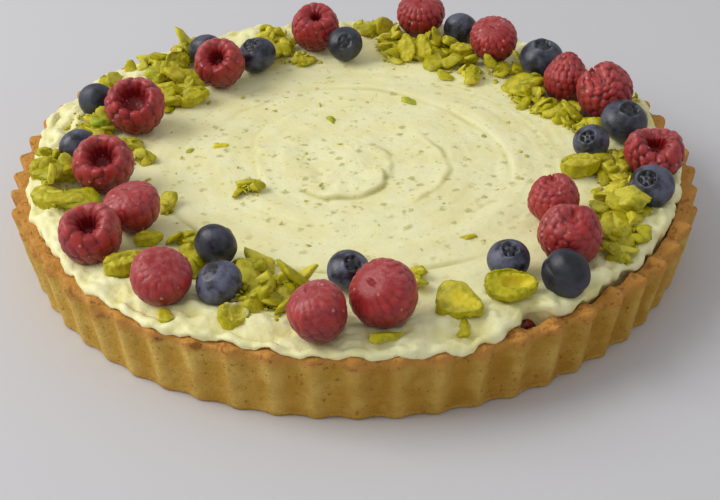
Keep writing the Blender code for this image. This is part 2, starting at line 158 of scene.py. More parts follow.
def smooth_path(corners: np.ndarray, count: int) -> np.ndarray:
    """A Catmull-Rom curve through corner points, read at even distances along it.

    Each stretch is 0.5 * (2b + (c - a)t + (2a - 5b + 4c - d)t² + (3b - a - 3c + d)t³).

    Args:
        corners: The points that the curve passes through.
        count: How many points to return.

    Returns:
        Points along the curve, the first and last corner among them.
    """
    padded = np.concatenate([corners[:1], corners, corners[-1:]])
    a, b, c, d = (padded[i : len(padded) - 3 + i, None, :] for i in range(4))
    t = np.linspace(0.0, 1.0, CURVE_STEPS, endpoint=False)[None, :, None]
    curve = 0.5 * (
        2 * b
        + (c - a) * t
        + (2 * a - 5 * b + 4 * c - d) * t**2
        + (3 * b - a - 3 * c + d) * t**3
    )
    curve = np.concatenate([curve.reshape(-1, corners.shape[1]), corners[-1:]])
    steps = np.linalg.norm(np.diff(curve, axis=0), axis=1)
    travelled = np.concatenate([[0.0], np.cumsum(steps)])
    wanted = np.linspace(0.0, travelled[-1], count)
    return np.stack([np.interp(wanted, travelled, axis) for axis in curve.T], axis=1)


def points_at(
    radius: np.ndarray | float, turn: np.ndarray, height: np.ndarray | float
) -> np.ndarray:
    """Points round the upright axis: (radius cos turn, radius sin turn, height).

    Args:
        radius: Distance from the axis.
        turn: Direction, in radians.
        height: Height along the axis.

    Returns:
        The points, with the three coordinates on the last axis.
    """
    place = np.broadcast_arrays(radius * np.cos(turn), radius * np.sin(turn), height)
    return np.stack(place, axis=-1)


def drawn_out(radius: np.ndarray, turn: np.ndarray, across: float, waves: float) -> np.ndarray:
    """Coordinates for noise with long grains round the axis, across millimetres wide."""
    return points_at(waves, turn, radius / MM / across)[..., [2, 0, 1]]


def quarter_round(first: float, count: int) -> np.ndarray:
    """Turns in radians from this share of a quarter turn to the whole, at even steps."""
    return np.linspace(first, 1.0, count) * TURN / 4


def revolve(path: np.ndarray, columns: int) -> tuple[np.ndarray, np.ndarray]:
    """A path of (radius, height) carried round the upright axis.

    Args:
        path: Radius and height, one row for each ring.
        columns: How many points each ring has.

    Returns:
        The rings, as rows by columns by three, and the angle of each column in radians.
    """
    angle = np.arange(columns) * TURN / columns
    return points_at(path[:, 0, None], angle, path[:, 1, None]), angle


def outward(rings: np.ndarray) -> np.ndarray:
    """Unit normals of rings: the step along the path crossed with the step round the ring.

    Args:
        rings: Rows by columns by three, each ring counter-clockwise seen from the first.

    Returns:
        A normal for each point.
    """
    along = np.gradient(rings, axis=0)
    around = np.roll(rings, -1, axis=1) - np.roll(rings, 1, axis=1)
    normal = np.cross(along, around)
    return normal / np.maximum(np.linalg.norm(normal, axis=-1, keepdims=True), 1e-12)


def ring_faces(rows: int, columns: int) -> tuple[np.ndarray, np.ndarray]:
    """The faces of rings between two poles, pole first, rings next and pole last.

    Args:
        rows: How many rings.
        columns: How many points a ring has.

    Returns:
        The quads between rings, and the triangles of the fan at each pole.
    """
    here = np.arange(columns)
    after = np.roll(here, -1)
    upper = 1 + np.arange(rows - 1)[:, None] * columns
    lower = upper + columns
    quads = np.stack([upper + here, lower + here, lower + after, upper + after], axis=-1)
    last_ring = 1 + (rows - 1) * columns
    last_pole = 1 + rows * columns
    fans = np.concatenate(
        [
            np.stack([0 * here, 1 + here, 1 + after], axis=-1),
            np.stack([0 * here + last_pole, last_ring + after, last_ring + here], axis=-1),
        ]
    )
    return quads.reshape(-1, 4), fans


def fill_mesh(
    name: str, points: np.ndarray, quads: np.ndarray, triangles: np.ndarray
) -> bpy.types.Mesh:
    """A smooth mesh from whole arrays.

    Args:
        name: The mesh's name.
        points: One row for each vertex.
        quads: Four vertex numbers a row.
        triangles: Three vertex numbers a row.

    Returns:
        The new mesh.
    """
    mesh = bpy.data.meshes.new(name)
    corners = np.concatenate([quads.ravel(), triangles.ravel()]).astype(np.int32)
    quad_starts = 4 * np.arange(len(quads))
    triangle_starts = 4 * len(quads) + 3 * np.arange(len(triangles))
    starts = np.concatenate([quad_starts, triangle_starts]).astype(np.int32)
    mesh.vertices.add(len(points))
    mesh.loops.add(len(corners))
    mesh.polygons.add(len(starts))
    mesh.vertices.foreach_set("co", points.astype(np.float32).ravel())
    mesh.loops.foreach_set("vertex_index", corners)
    mesh.polygons.foreach_set("loop_start", starts)
    mesh.update(calc_edges=True)
    mesh.shade_smooth()
    return mesh


def closed_mesh(name: str, rings: np.ndarray) -> bpy.types.Mesh:
    """A closed mesh over rings, whose first and last ring shrink to the middle of each.

    Args:
        name: The mesh's name.
        rings: Rows by columns by three; the first and last row are averaged into poles.

    Returns:
        The new mesh, its faces pointing out.
    """
    inner = rings[1:-1]
    poles = rings[[0, -1]].mean(axis=1)
    points = np.concatenate([poles[:1], inner.reshape(-1, 3), poles[1:]])
    return fill_mesh(name, points, *ring_faces(*inner.shape[:2]))


def paint(mesh: bpy.types.Mesh, name: str, values: np.ndarray) -> None:
    """Stores one number for each vertex, which a material reads by this name.

    Args:
        mesh: A mesh from closed_mesh or a scatter.
        name: The attribute's name.
        values: Rows by columns for a ring surface, or one number for each vertex.
    """
    if values.ndim == 2:
        ends = values[[0, -1]].mean(axis=1)
        values = np.concatenate([ends[:1], values[1:-1].ravel(), ends[1:]])
    attribute = mesh.attributes.new(name, "FLOAT", "POINT")
    attribute.data.foreach_set("value", values.astype(np.float32))


def add_piece(
    mesh: bpy.types.Mesh, finish: bpy.types.Material, replaced: str = ""
) -> bpy.types.Object:
    """Puts a finished mesh on the tart and reports it.

    Args:
        mesh: The shape, already in its place.
        finish: Its material.
        replaced: The node that the piece stands for, if any.

    Returns:
        The new object.
    """
    mesh.materials.append(finish)
    piece = bpy.data.objects.new(mesh.name, mesh)
    bpy.context.scene.collection.objects.link(piece)
    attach(piece, "root")
    if replaced:
        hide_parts(replaced)
    log.info("%s: %d faces", piece.name, len(mesh.polygons))
    return piece


def settle(rings: np.ndarray, node: str) -> np.ndarray:
    """Moves turned rings so that their box has the middle of the node's box.

    Args:
        rings: Points round the origin.
        node: The node whose place they take.

    Returns:
        The moved points.
    """
    low, high = (np.array(corner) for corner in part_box(node))
    flat = rings.reshape(-1, 3)
    middle = (flat.min(axis=0) + flat.max(axis=0)) / 2
    return rings - middle + (low + high) / 2


def lean_turn(lean: float, heading: float) -> np.ndarray:
    """The turn that tips the upright axis towards a heading, about the level line across it.

    Args:
        lean: How far it tips, in degrees.
        heading: Which way, in degrees.

    Returns:
        A matrix of three by three.
    """
    way = math.radians(heading)
    sideways = Vector((-math.sin(way), math.cos(way), 0))
    return np.array(Matrix.Rotation(math.radians(lean), 3, sideways))


class Value:
    """A shader socket that takes part in arithmetic, each operator adding one Math node."""

    def __init__(self, recipe: "Recipe", socket: bpy.types.NodeSocket) -> None:
        """Keeps the socket and the recipe it belongs to."""
        self.recipe = recipe
        self.socket = socket

    def _math(self, operation: str, first: object, second: object) -> "Value":
        """One Math node on two operands, each a Value or a number."""
        return self.recipe.node(
            "ShaderNodeMath", {"operation": operation}, {0: first, 1: second}
        )

    def __add__(self, other: object) -> "Value":
        """self + other."""
        return self._math("ADD", self, other)

    def __sub__(self, other: object) -> "Value":
        """self - other."""
        return self._math("SUBTRACT", self, other)

    def __rsub__(self, other: object) -> "Value":
        """other - self."""
        return self._math("SUBTRACT", other, self)

    def __mul__(self, other: object) -> "Value":
        """self * other."""
        return self._math("MULTIPLY", self, other)

    __radd__ = __add__
    __rmul__ = __mul__

    def rise(self, start: float, end: float) -> "Value":
        """A smooth rise from 0 at start to 1 at end, or a fall where end is lower."""
        return self.recipe.node(
            "ShaderNodeMapRange",
            {"interpolation_type": "SMOOTHSTEP"},
            {"Value": self, "From Min": start, "From Max": end},
        )


class Recipe:
    """The nodes of one finish, built round its Principled shader."""

    def __init__(self, name: str, **constants: object) -> None:
        """Starts a material.

        Args:
            name: The material's name.
            constants: Shader sockets that are the same all over, words joined by _.
        """
        self.material = bpy.data.materials.new(name)
        self.material.use_nodes = True
        self.tree = self.material.node_tree
        self.shader = self.tree.nodes["Principled BSDF"]
        for socket, value in constants.items():
            self.shader.inputs[socket.replace("_", " ")].default_value = value
        self.place = self.node("ShaderNodeTexCoord", {}, {}, "Object")

    def node(
        self, kind: str, settings: dict, sockets: dict, output: str | int = 0
    ) -> Value:
        """Adds any node.

        Args:
            kind: The node's type.
            settings: Its properties, set first.
            sockets: A number, colour or Value for each input, by name or number.
            output: Which output is returned.

        Returns:
            The chosen output.
        """
        made = self.tree.nodes.new(kind)
        for name, value in settings.items():
            setattr(made, name, value)
        for key, value in sockets.items():
            if isinstance(value, Value):
                self.tree.links.new(value.socket, made.inputs[key])
            elif isinstance(value, tuple) and len(value) == 3 and made.inputs[key].type == "RGBA":
                made.inputs[key].default_value = (*value, 1.0)
            else:
                made.inputs[key].default_value = value
        return Value(self, made.outputs[output])

    def grain(self, size: float, detail: float = 2.0, rough: float = 0.5) -> Value:
        """Noise between 0 and 1 whose features are about size metres across."""
        return self.node(
            "ShaderNodeTexNoise",
            {},
            {"Vector": self.place, "Scale": 1 / size, "Detail": detail, "Roughness": rough},
        )

    def specks(self, size: float) -> Value:
        """The distance to the nearest of points scattered about size metres apart."""
        return self.node(
            "ShaderNodeTexVoronoi", {}, {"Vector": self.place, "Scale": 1 / size}, "Distance"
        )

    def attribute(self, name: str) -> Value:
        """A number that paint stored on the mesh."""
        return self.node("ShaderNodeAttribute", {"attribute_name": name}, {}, "Fac")

    def blend(self, share: Value, first: object, second: object) -> Value:
        """Mixes two colours, the first where share is 0."""
        return self.node(
            "ShaderNodeMix", {"data_type": "RGBA"}, {0: share, 6: first, 7: second}, 2
        )

    def relief(self, height: Value, depth: float) -> Value:
        """A Bump node that reads height as this many metres of depth."""
        return self.node(
            "ShaderNodeBump", {}, {"Height": height, "Distance": depth, "Strength": 1.0}
        )

    def finish(self, **links: Value) -> bpy.types.Material:
        """Links what changes over the surface to the shader.

        Args:
            links: The shader's sockets, words joined by _.

        Returns:
            The finished material.
        """
        for socket, value in links.items():
            self.tree.links.new(value.socket, self.shader.inputs[socket.replace("_", " ")])
        return self.material


@dataclass(frozen=True)
class CrustFinish:
    """Golden shortcrust, browner towards the rim, with pits, dark baked spots and painted shade."""

    # Pale is painted light on the ridges and golden painted shade in the scoops, mixed with
    # blotches
    pale: Colour = seen(222, 188, 98)
    golden: Colour = seen(196, 150, 54)
    # Browning, together with the painted shade of the wall's right front
    browned_and_side_shade: Colour = seen(172, 124, 36)
    toasted: Colour = seen(202, 144, 68)
    dark: Colour = seen(132, 76, 28)
    blotch_size: float = 9 * MM
    crumb_size: float = 1.8 * MM
    spot_size: float = 4 * MM
    fine_size: float = 0.6 * MM
    relief: float = 1.1 * MM

    def make(self) -> bpy.types.Material:
        """Pale ridges and golden scoops as painted light and shade, a toasted edge, brown spots.

        Returns:
            The material.
        """
        r = Recipe("baked_shortcrust", Specular_IOR_Level=0.3)
        blotch = r.grain(self.blotch_size, 4.0, 0.6).rise(0.36, 0.64)
        crumb = r.grain(self.crumb_size, 3.0, 0.6)
        toast = r.attribute("toast") + (crumb - 0.5) * 0.5
        # Painted light on the ridges and painted shade in the scoops, mixed with random blotches
        scoop_shade = 1 - r.attribute("ridge")
        scoop_shade_and_blotch = scoop_shade * 0.55 + blotch * 0.45
        base = r.blend(scoop_shade_and_blotch, self.pale, self.golden)
        # Painted shade over the right front, together with real browning
        browning_and_shade = r.attribute("browned_and_side_shade") * (scoop_shade_and_blotch * 0.65 + 0.35)
        base = r.blend(browning_and_shade * 0.95, base, self.browned_and_side_shade)
        base = r.blend(toast.rise(0.1, 0.9), base, self.toasted)
        spots = r.grain(self.spot_size, 4.0, 0.6).rise(0.52, 0.66) * toast.rise(0.2, 0.7)
        base = r.blend(spots * 0.6, base, self.dark)
        pits = crumb.rise(0.36, 0.26)
        # Painted shade in the pits
        base = r.blend(pits * 0.12, base, self.dark)
        height = crumb * 0.7 + r.grain(self.fine_size, 2.0) * 0.3 - pits * 0.5
        return r.finish(
            Base_Color=base,
            Roughness=0.62 + crumb * 0.25,
            Normal=r.relief(height, self.relief),
        )


@dataclass(frozen=True)
class FillingFinish:
    """Dark red berry filling, moist."""

    light: Colour = seen(150, 30, 34)
    deep: Colour = seen(78, 8, 14)
    flesh_size: float = 2.4 * MM
    relief: float = 1.2 * MM

    def make(self) -> bpy.types.Material:
        """Deep red with lighter flesh in blotches.

        Returns:
            The material.
        """
        r = Recipe("red_berry_filling", Specular_IOR_Level=0.6)
        flesh = r.grain(self.flesh_size, 3.0)
        return r.finish(
            Base_Color=r.blend(flesh.rise(0.35, 0.65), self.deep, self.light),
            Roughness=0.28 + flesh * 0.2,
            Normal=r.relief(flesh, self.relief),
        )


@dataclass(frozen=True)
class CreamFinish:
    """Pale yellow-green cream with fine green and olive flecks and painted shade."""

    base: Colour = seen(252, 248, 194)
    shade: Colour = seen(246, 240, 176)
    # Painted shade in the border's folds
    low: Colour = seen(228, 218, 126)
    # Painted shade below the spatula marks' steps and in their grooves
    foot: Colour = seen(170, 166, 62)
    green: Colour = seen(188, 192, 36)
    olive: Colour = seen(152, 148, 22)
    cloud_size: float = 11 * MM
    warp_size: float = 1.4 * MM
    large_flecks: float = 6 * MM
    large_patches: float = 9 * MM
    fine_flecks: float = 2.9 * MM
    fine_patches: float = 6 * MM
    curd_size: float = 2.2 * MM
    ripple_size: float = 2.6 * MM
    grain_size: float = 0.7 * MM
    relief: float = 0.55 * MM

    def make(self) -> bpy.types.Material:
        """Flecks are the hearts of scattered cells, kept where noise allows.

        Returns:
            The material.
        """
        r = Recipe(
            "pistachio_cream",
            Subsurface_Weight=0.2,
            Subsurface_Radius=(0.004, 0.003, 0.0014),
            Subsurface_Scale=1.0,
        )
        cloud = r.grain(self.cloud_size, 3.0)
        base = r.blend(cloud.rise(0.35, 0.7), self.base, self.shade)
        # Painted shade in the border's folds
        base = r.blend(r.attribute("low"), base, self.low)
        # Painted shade below the marks' steps
        base = r.blend(r.attribute("foot"), base, self.foot)
        warp = r.grain(self.warp_size, 3.0) * 0.6
        large = (r.specks(self.large_flecks) + warp).rise(0.6, 0.4)
        large = large * r.grain(self.large_patches).rise(0.42, 0.5)
        fine = (r.specks(self.fine_flecks) + warp).rise(0.62, 0.42)
        fine = fine * r.grain(self.fine_patches).rise(0.45, 0.55)
        within = r.attribute("flecked")
        base = r.blend(fine * within * 0.5, base, self.green)
        base = r.blend(large * within * 0.55, base, self.olive)
        ripples = r.grain(self.ripple_size, 4.0, 0.6) * 0.5
        curdled = r.attribute("whipped") * r.grain(self.curd_size, 3.0, 0.6) * 0.5
        height = ripples + r.grain(self.grain_size, 2.0) * 0.16 + curdled
        return r.finish(
            Base_Color=base, Roughness=0.5 + cloud * 0.12, Normal=r.relief(height, self.relief)
        )


@dataclass(frozen=True)
class RaspberryFinish:
    """Pink-red drupelets with a dull bloom; the creases, hollow and bottom have painted shade."""

    skin: Colour = seen(156, 32, 34)
    bright: Colour = seen(182, 46, 42)
    # Painted shade, darker towards the berry's bottom
    deep: Colour = seen(100, 16, 20)
    # Painted shade between the drupelets
    crease_shade: Colour = seen(108, 14, 20)
    # Painted shade in the hollow
    hollow: Colour = seen(138, 16, 20)
    # Real bloom, painted only on the upper part, where it also stands for light from above
    bloom: Colour = seen(196, 112, 112)
    drop: Colour = seen(240, 190, 184)
    dust_size: float = 0.6 * MM
    mottle_size: float = 2.2 * MM
    drop_spacing: float = 3.4 * MM
    drop_patches: float = 5 * MM
    relief: float = 0.12 * MM

    def make(self) -> bpy.types.Material:
        """Each drupelet has its tint; painted shade low down and in creases and hollow, bloom on
        top.

        Returns:
            The material.
        """
        r = Recipe(
            "raspberry_skin",
            Subsurface_Weight=0.15,
            Subsurface_Radius=(0.004, 0.001, 0.001),
            Subsurface_Scale=0.5,
            Sheen_Weight=0.12,
            Sheen_Roughness=0.5,
            Sheen_Tint=(1.0, 0.78, 0.82, 1.0),
        )
        dust = r.grain(self.dust_size, 2.0)
        mottle = r.grain(self.mottle_size, 3.0, 0.6)
        base = r.blend(r.attribute("tint"), self.skin, self.bright)
        # Painted shade, darker towards the bottom
        base = r.blend(r.attribute("deep"), base, self.deep)
        # Painted shade between the drupelets
        base = r.blend(r.attribute("crease_shade"), base, self.crease_shade)
        # Real bloom, painted on the upper part, where it also stands for light from above
        base = r.blend(r.attribute("bloom") * mottle.rise(0.3, 0.75) * 0.6, base, self.bloom)
        # Painted shade in the hollow, which has no bloom
        base = r.blend(r.attribute("hollow"), base, self.hollow)
        drops = r.specks(self.drop_spacing).rise(0.2, 0.12)
        drops = drops * r.grain(self.drop_patches).rise(0.45, 0.55)
        base = r.blend(drops * 0.4, base, self.drop)
        return r.finish(
            Base_Color=base, Roughness=0.32 + dust * 0.2, Normal=r.relief(dust, self.relief)
        )


@dataclass(frozen=True)
class BlueberryFinish:
    """Blue-black skin under a dusty grey bloom that is rubbed off in places."""

    skin: Colour = seen(24, 26, 36)
    bloom: Colour = seen(98, 102, 124)
    pit: Colour = seen(18, 17, 20)
    ring: Colour = seen(122, 124, 136)
    dust_size: float = 5 * MM
    skin_grain: float = 0.8 * MM
    relief: float = 0.07 * MM

    def make(self) -> bpy.types.Material:
        """Bloom by cloudy noise, pits and the crown's pale edge painted.

        Returns:
            The material.
        """
        r = Recipe("blueberry_skin", Specular_IOR_Level=0.6)
        dust = r.grain(self.dust_size, 4.0, 0.6).rise(0.34, 0.66)
        base = r.blend(dust * r.attribute("dusty"), self.skin, self.bloom)
        base = r.blend(r.attribute("ring"), base, self.ring)
        base = r.blend(r.attribute("pit"), base, self.pit)
        return r.finish(
            Base_Color=base,
            Roughness=0.3 + dust * 0.25,
            Normal=r.relief(r.grain(self.skin_grain, 2.0), self.relief),
        )


@dataclass(frozen=True)
class PistachioFinish:
    """Green nut with a yellow cut face and waxy, slightly see-through flesh."""

    skin: Colour = seen(190, 181, 12)
    dark: Colour = seen(162, 155, 6)
    cut: Colour = seen(222, 210, 70)
    gold: Colour = seen(238, 220, 56)
    green: Colour = seen(140, 186, 50)
    creamy: Colour = seen(226, 220, 160)
    mottle_size: float = 2.6 * MM
    fine_size: float = 0.7 * MM
    relief: float = 0.4 * MM

    def make(self) -> bpy.types.Material:
        """Skin tones by noise, with cut, golden, green and creamy painted.

        Returns:
            The material.
        """
        r = Recipe(
            "pistachio_nut",
            Specular_IOR_Level=0.38,
            Subsurface_Weight=0.35,
            Subsurface_Radius=(0.003, 0.0028, 0.0005),
            Subsurface_Scale=0.8,
        )
        mottle = r.grain(self.mottle_size, 3.0)
        base = r.blend(mottle.rise(0.35, 0.6), self.dark, self.skin)
        base = r.blend((r.attribute("cut") + (mottle - 0.5) * 0.6).rise(0.2, 0.9), base, self.cut)
        base = r.blend(r.attribute("gold"), base, self.gold)
        base = r.blend(r.attribute("green"), base, self.green)
        base = r.blend(r.attribute("creamy"), base, self.creamy)
        return r.finish(
            Base_Color=base,
            Roughness=0.34 + mottle * 0.25,
            Normal=r.relief(mottle + r.grain(self.fine_size) * 0.5, self.relief),
        )


@dataclass(frozen=True)
class FloorFinish:
    """A plain pale floor."""

    colour: Colour = seen(212, 212, 215)

    def make(self) -> bpy.types.Material:
        """One pale colour with the faintest mottling.

        Returns:
            The material.
        """
        r = Recipe("pale_floor", Roughness=0.9, Specular_IOR_Level=0.2)
        base = r.blend(r.grain(0.4), self.colour, tuple(0.97 * c for c in self.colour))
        return r.finish(Base_Color=base)


@dataclass
class Shell:
    """The fluted shortcrust shell, with the forms of its node and a finer surface."""

    rim_radius: float = 126.3 * MM
    base_radius: float = 121.2 * MM
    height: float = 26.2 * MM
    flutes: int = 58
    flute_phase: float = 3.3
    depth_rim: float = 2.5 * MM
    depth_base: float = 1.3 * MM
    sharpness: float = 1.5
    rim_wave: float = 1.3 * MM
    rim_unevenness: float = 0.9 * MM
    slump: float = 0.5 * MM
    # Handmade waviness as sines: strength, waves in a turn, and how the seed shifts it
    waves: tuple = ((0.45, 3, 1.0), (0.35, 7, 2.3), (0.30, 17, 4.1))
    foot_inset: float = 1.0 * MM
    foot_rise: float = 1.3 * MM
    rounding: float = 0.9 * MM
    floor: float = 5.0 * MM
    inner_floor: float = 115.0 * MM
    inner_rim: float = 119.4 * MM
    columns_per_flute: int = 26
    wall_rows: int = 28
    # The baked surface: heights, and the sizes of what is uneven
    lumps: float = 0.4 * MM
    lump_size: float = 7 * MM
    pits: float = 0.5 * MM
    crumble: float = 0.3 * MM
    crumble_size: float = 2.6 * MM
    # How far the toasting reaches down, in millimetres, with more on ridges and lumps
    toast_reach: float = 5.6
    toast_on_ridge: float = 2.6
    toast_on_lump: float = 5.0
    # Where the dough was pressed harder into the tin
    pressed_centre: float = 316.0
    pressed_spread: float = 22.0
    pressed_deeper: float = 0.65
    pressed_taller: float = 0.9
    # Painted shade over the wall's right front, the side away from the light: middle and spread
    side_shade_centre: float = 310.0
    side_shade_spread: float = 46.0

    def pressed(self, angle: np.ndarray) -> np.ndarray:
        """1 where the dough was pressed hardest, falling off to both sides."""
        return bell(angle_between(angle, self.pressed_centre), 0.0, self.pressed_spread)

    def ridge(self, angle: np.ndarray) -> np.ndarray:
        """1 on a flute's narrow ridge and 0 in its scoop: ((1 + cos) / 2) to a power."""
        wave = 0.5 + 0.5 * np.cos(self.flutes * np.radians(angle - self.flute_phase))
        return wave**self.sharpness

    def unevenness(self, angle: np.ndarray, seed: float) -> np.ndarray:
        """Sines of the angle added up, a handmade waviness between -1 and 1."""
        a = np.radians(angle)
        return sum(part * np.sin(count * a + drift * seed) for part, count, drift in self.waves)

    def outer_radius(self, angle: np.ndarray, share: float) -> np.ndarray:
        """The wall's outer face: an even cone, less the flute's scoop, plus the slump.

        Args:
            angle: Directions, in degrees.
            share: How far up the wall, from 0 to 1.

        Returns:
            The distance from the middle in each direction.
        """
        depth = self.depth_base + (self.depth_rim - self.depth_base) * share
        depth = depth * (1 + self.pressed_deeper * self.pressed(angle))
        ridge_radius = self.base_radius + (self.rim_radius - self.base_radius) * share
        slump = self.slump * self.unevenness(angle, 1.7)
        return ridge_radius - depth * (1 - self.ridge(angle)) + slump

    def inner_radius(self, height: np.ndarray) -> np.ndarray:
        """The wall's inner face, a plain cone."""
        share = (height - self.floor) / (self.height - self.floor)
        return self.inner_floor + (self.inner_rim - self.inner_floor) * share

    def rim_height(self, angle: np.ndarray) -> np.ndarray:
        """The wall's top edge: higher on each ridge, and wandering."""
        return (
            self.height
            + self.rim_wave
            * (1 + self.pressed_taller * self.pressed(angle))
            * (self.ridge(angle) - 0.5)
            + self.rim_unevenness * self.unevenness(angle, 0.4)
        )

    def rings(self) -> tuple[np.ndarray, np.ndarray]:
        """The whole surface as rings, and how far up the wall each ring lies.

        The path runs from the middle of the floor up the inner cone, over the rim in two
        quarter rounds, down the fluted wall, round the foot and in to the middle below.

        Returns:
            Rings of points, and each ring's share of the wall's height, 0 off the wall.
        """
        columns = self.flutes * self.columns_per_flute
        angle = np.arange(columns) * 360.0 / columns
        top = self.rim_height(angle)
        rim = self.outer_radius(angle, 1.0)
        crest = np.maximum(rim - self.rounding, self.inner_rim + 2 * self.rounding)
        rows = [(share * self.inner_floor, self.floor, 0.0) for share in (0.0, 0.5, 0.9, 1.0)]
        inner_top = top - self.rounding
        for share in np.linspace(0.15, 1.0, 7):
            height = self.floor + (inner_top - self.floor) * share
            rows.append((self.inner_radius(height), height, 0.0))
        inner = self.inner_radius(inner_top)
        for bend in quarter_round(0.2, 4):
            radius = inner + self.rounding * (1 - math.cos(bend))
            rows.append((radius, inner_top + self.rounding * math.sin(bend), 1.0))
        flat_start = inner + self.rounding
        for share in (0.33, 0.67):
            rows.append((flat_start + (crest - flat_start) * share, top, 1.0))
        under = top - 1.4 * self.rounding
        for bend in quarter_round(0.0, 6):
            radius = crest + (rim - crest) * math.sin(bend)
            rows.append((radius, under + (top - under) * math.cos(bend), 1.0))
        for share in np.linspace(1.0, 0.0, self.wall_rows)[1:]:
            height = self.foot_rise + (under - self.foot_rise) * share
            rows.append((self.outer_radius(angle, share), height, share))
        edge = self.outer_radius(angle, 0.0)
        for bend in quarter_round(0.33, 3):
            radius = edge - self.foot_inset * (1 - math.cos(bend))
            rows.append((radius, self.foot_rise * (1 - math.sin(bend)), 0.0))
        rows += [(share * (edge - self.foot_inset), 0.0, 0.0) for share in (0.9, 0.5, 0.0)]
        turn = np.radians(angle)
        rings = np.stack([points_at(radius, turn, height) for radius, height, _ in rows])
        return rings, np.array([share for _, _, share in rows])

    def build(self, finish: bpy.types.Material) -> None:
        """Adds lumps, crumbly pits, toasting, painted light and shade, and puts the shell in place.

        Args:
            finish: The shell's material.
        """
        rings, share = self.rings()
        level = share[:, None]
        on_wall = (level > 0).astype(float)
        lump = fractal(rings, self.lump_size, 3, seed=3)
        crumble = fractal(rings, self.crumble_size, 2, seed=11)
        pit = smooth_step(crumble, 0.38, 0.75)
        at_rim = smooth_step(level, 0.85, 1.0)
        relief = self.lumps * lump * (1 + 0.8 * at_rim) - self.pits * pit
        relief += self.crumble * crumble * at_rim
        rings = rings + outward(rings) * (relief * on_wall)[..., None]
        angle = np.degrees(np.arctan2(rings[..., 1], rings[..., 0]))
        ridge = self.ridge(angle)
        below = (self.rim_height(angle) - rings[..., 2]) / MM
        reach = self.toast_reach + self.toast_on_ridge * ridge + self.toast_on_lump * lump
        toast = 1 - smooth_step(below / np.maximum(reach, 1.2), 0.1, 1.0)
        # Painted shade over the wall's right front, the side away from the light, and at its foot
        side_shade = bell(angle_between(angle, self.side_shade_centre), 0.0, self.side_shade_spread)
        foot = 1 - smooth_step(level + 0.25 * lump, 0.0, 0.35)
        mesh = closed_mesh("shortcrust_shell", rings)
        # The toasting, and painted shade at the foot of the right front
        paint(mesh, "toast", np.clip(toast + 0.45 * foot * side_shade, 0, 1) * on_wall)
        # Ridge paint: painted light on the ridges, painted shade in the scoops
        paint(mesh, "ridge", ridge * on_wall)
        # Browning everywhere and by lumps, plus the painted shade of the right front
        paint(mesh, "browned_and_side_shade", np.clip(0.2 + 0.9 * side_shade + 0.5 * lump, 0, 1) * on_wall)
        add_piece(mesh, finish, "crust")


class StrokeShape(Enum):
    """What the spatula's edge left behind."""

    STEP_IN = "the side nearer the middle stands higher"
    STEP_OUT = "the side farther from the middle stands higher"
    RIDGE = "a narrow ridge"
    GROOVE = "a narrow groove"


@dataclass(frozen=True)
class Stroke:
    """One spatula mark, an arc of a spiral: angles in degrees, the rest in millimetres."""

    shape: StrokeShape
    start: float
    sweep: float
    start_radius: float
    end_radius: float
    height: float
    edge: float = 0.8
    reach: float = 9.0
    centre: tuple[float, float] = (0.0, 0.0)

    def lift(self, radius: np.ndarray, angle: np.ndarray) -> np.ndarray:
        """How far the mark lifts the cream.

        The mark's line runs evenly from its first radius to its last. Across the line a
        step is a logistic curve of the distance times a slow exponential decay, and a
        ridge or groove is a bell. Along the line the mark fades in and out at its ends.

        Args:
            radius: Distance from the middle, in metres.
            angle: Direction, in degrees.

        Returns:
            The lift in metres.
        """
        total = np.zeros_like(radius)
        for off, fade in self.laps(radius, angle):
            if self.shape in (StrokeShape.RIDGE, StrokeShape.GROOVE):
                across = bell(off, 0.0, self.edge)
            else:
                side = -off if self.shape is StrokeShape.STEP_IN else off
                logistic = 1 / (1 + np.exp(np.clip(-4 * side / self.edge, -60, 60)))
                across = logistic * np.exp(-np.abs(off) / self.reach)
            total += fade * across
        sign = -1 if self.shape is StrokeShape.GROOVE else 1
        return sign * self.height * MM * total

    def laps(self, radius: np.ndarray, angle: np.ndarray) -> list[tuple[np.ndarray, np.ndarray]]:
        """Where a place lies beside the mark, on each lap that the mark's line makes.

        The line wanders by two sines, and the mark comes and goes a little along it.

        Args:
            radius: Distance from the middle, in metres.
            angle: Direction, in degrees.

        Returns:
            For each lap the millimetres outside the line, and the mark's strength.
        """
        found = []
        turn = np.radians(angle)
        x = radius / MM * np.cos(turn) - self.centre[0]
        y = radius / MM * np.sin(turn) - self.centre[1]
        away, around = np.hypot(x, y), np.degrees(np.arctan2(y, x)) % 360.0
        for lap in range(-1, 3):
            along = (around + 360.0 * lap - self.start) / self.sweep
            line = self.start_radius + (self.end_radius - self.start_radius) * along
            wander = 0.5 * np.sin(along * 11.0 + self.start) + 0.25 * np.sin(along * 29.0)
            fade = smooth_step(along, 0.0, 0.18) * (1 - smooth_step(along, 0.82, 1.0))
            fade = fade * (0.75 + 0.25 * np.sin(along * 21.0 + 2 * self.start))
            found.append((away - line - wander, fade))
        return found

    def foot(self, radius: np.ndarray, angle: np.ndarray) -> np.ndarray:
        """How much shade lies at the foot of the mark: a bell on its lower side.

        Args:
            radius: Distance from the middle, in metres.
            angle: Direction, in degrees.

        Returns:
            A share from 0 to 1.
        """
        if self.shape is StrokeShape.RIDGE:
            return np.zeros_like(radius)
        side = {StrokeShape.STEP_IN: 1.0, StrokeShape.STEP_OUT: -1.0}.get(self.shape, 0.0)
        total = sum(
            fade * bell(off, side * 0.7 * self.edge, 0.9) for off, fade in self.laps(radius, angle)
        )
        return np.clip(total * self.height / 1.2 / max(1.0, self.edge**2), 0, 1)


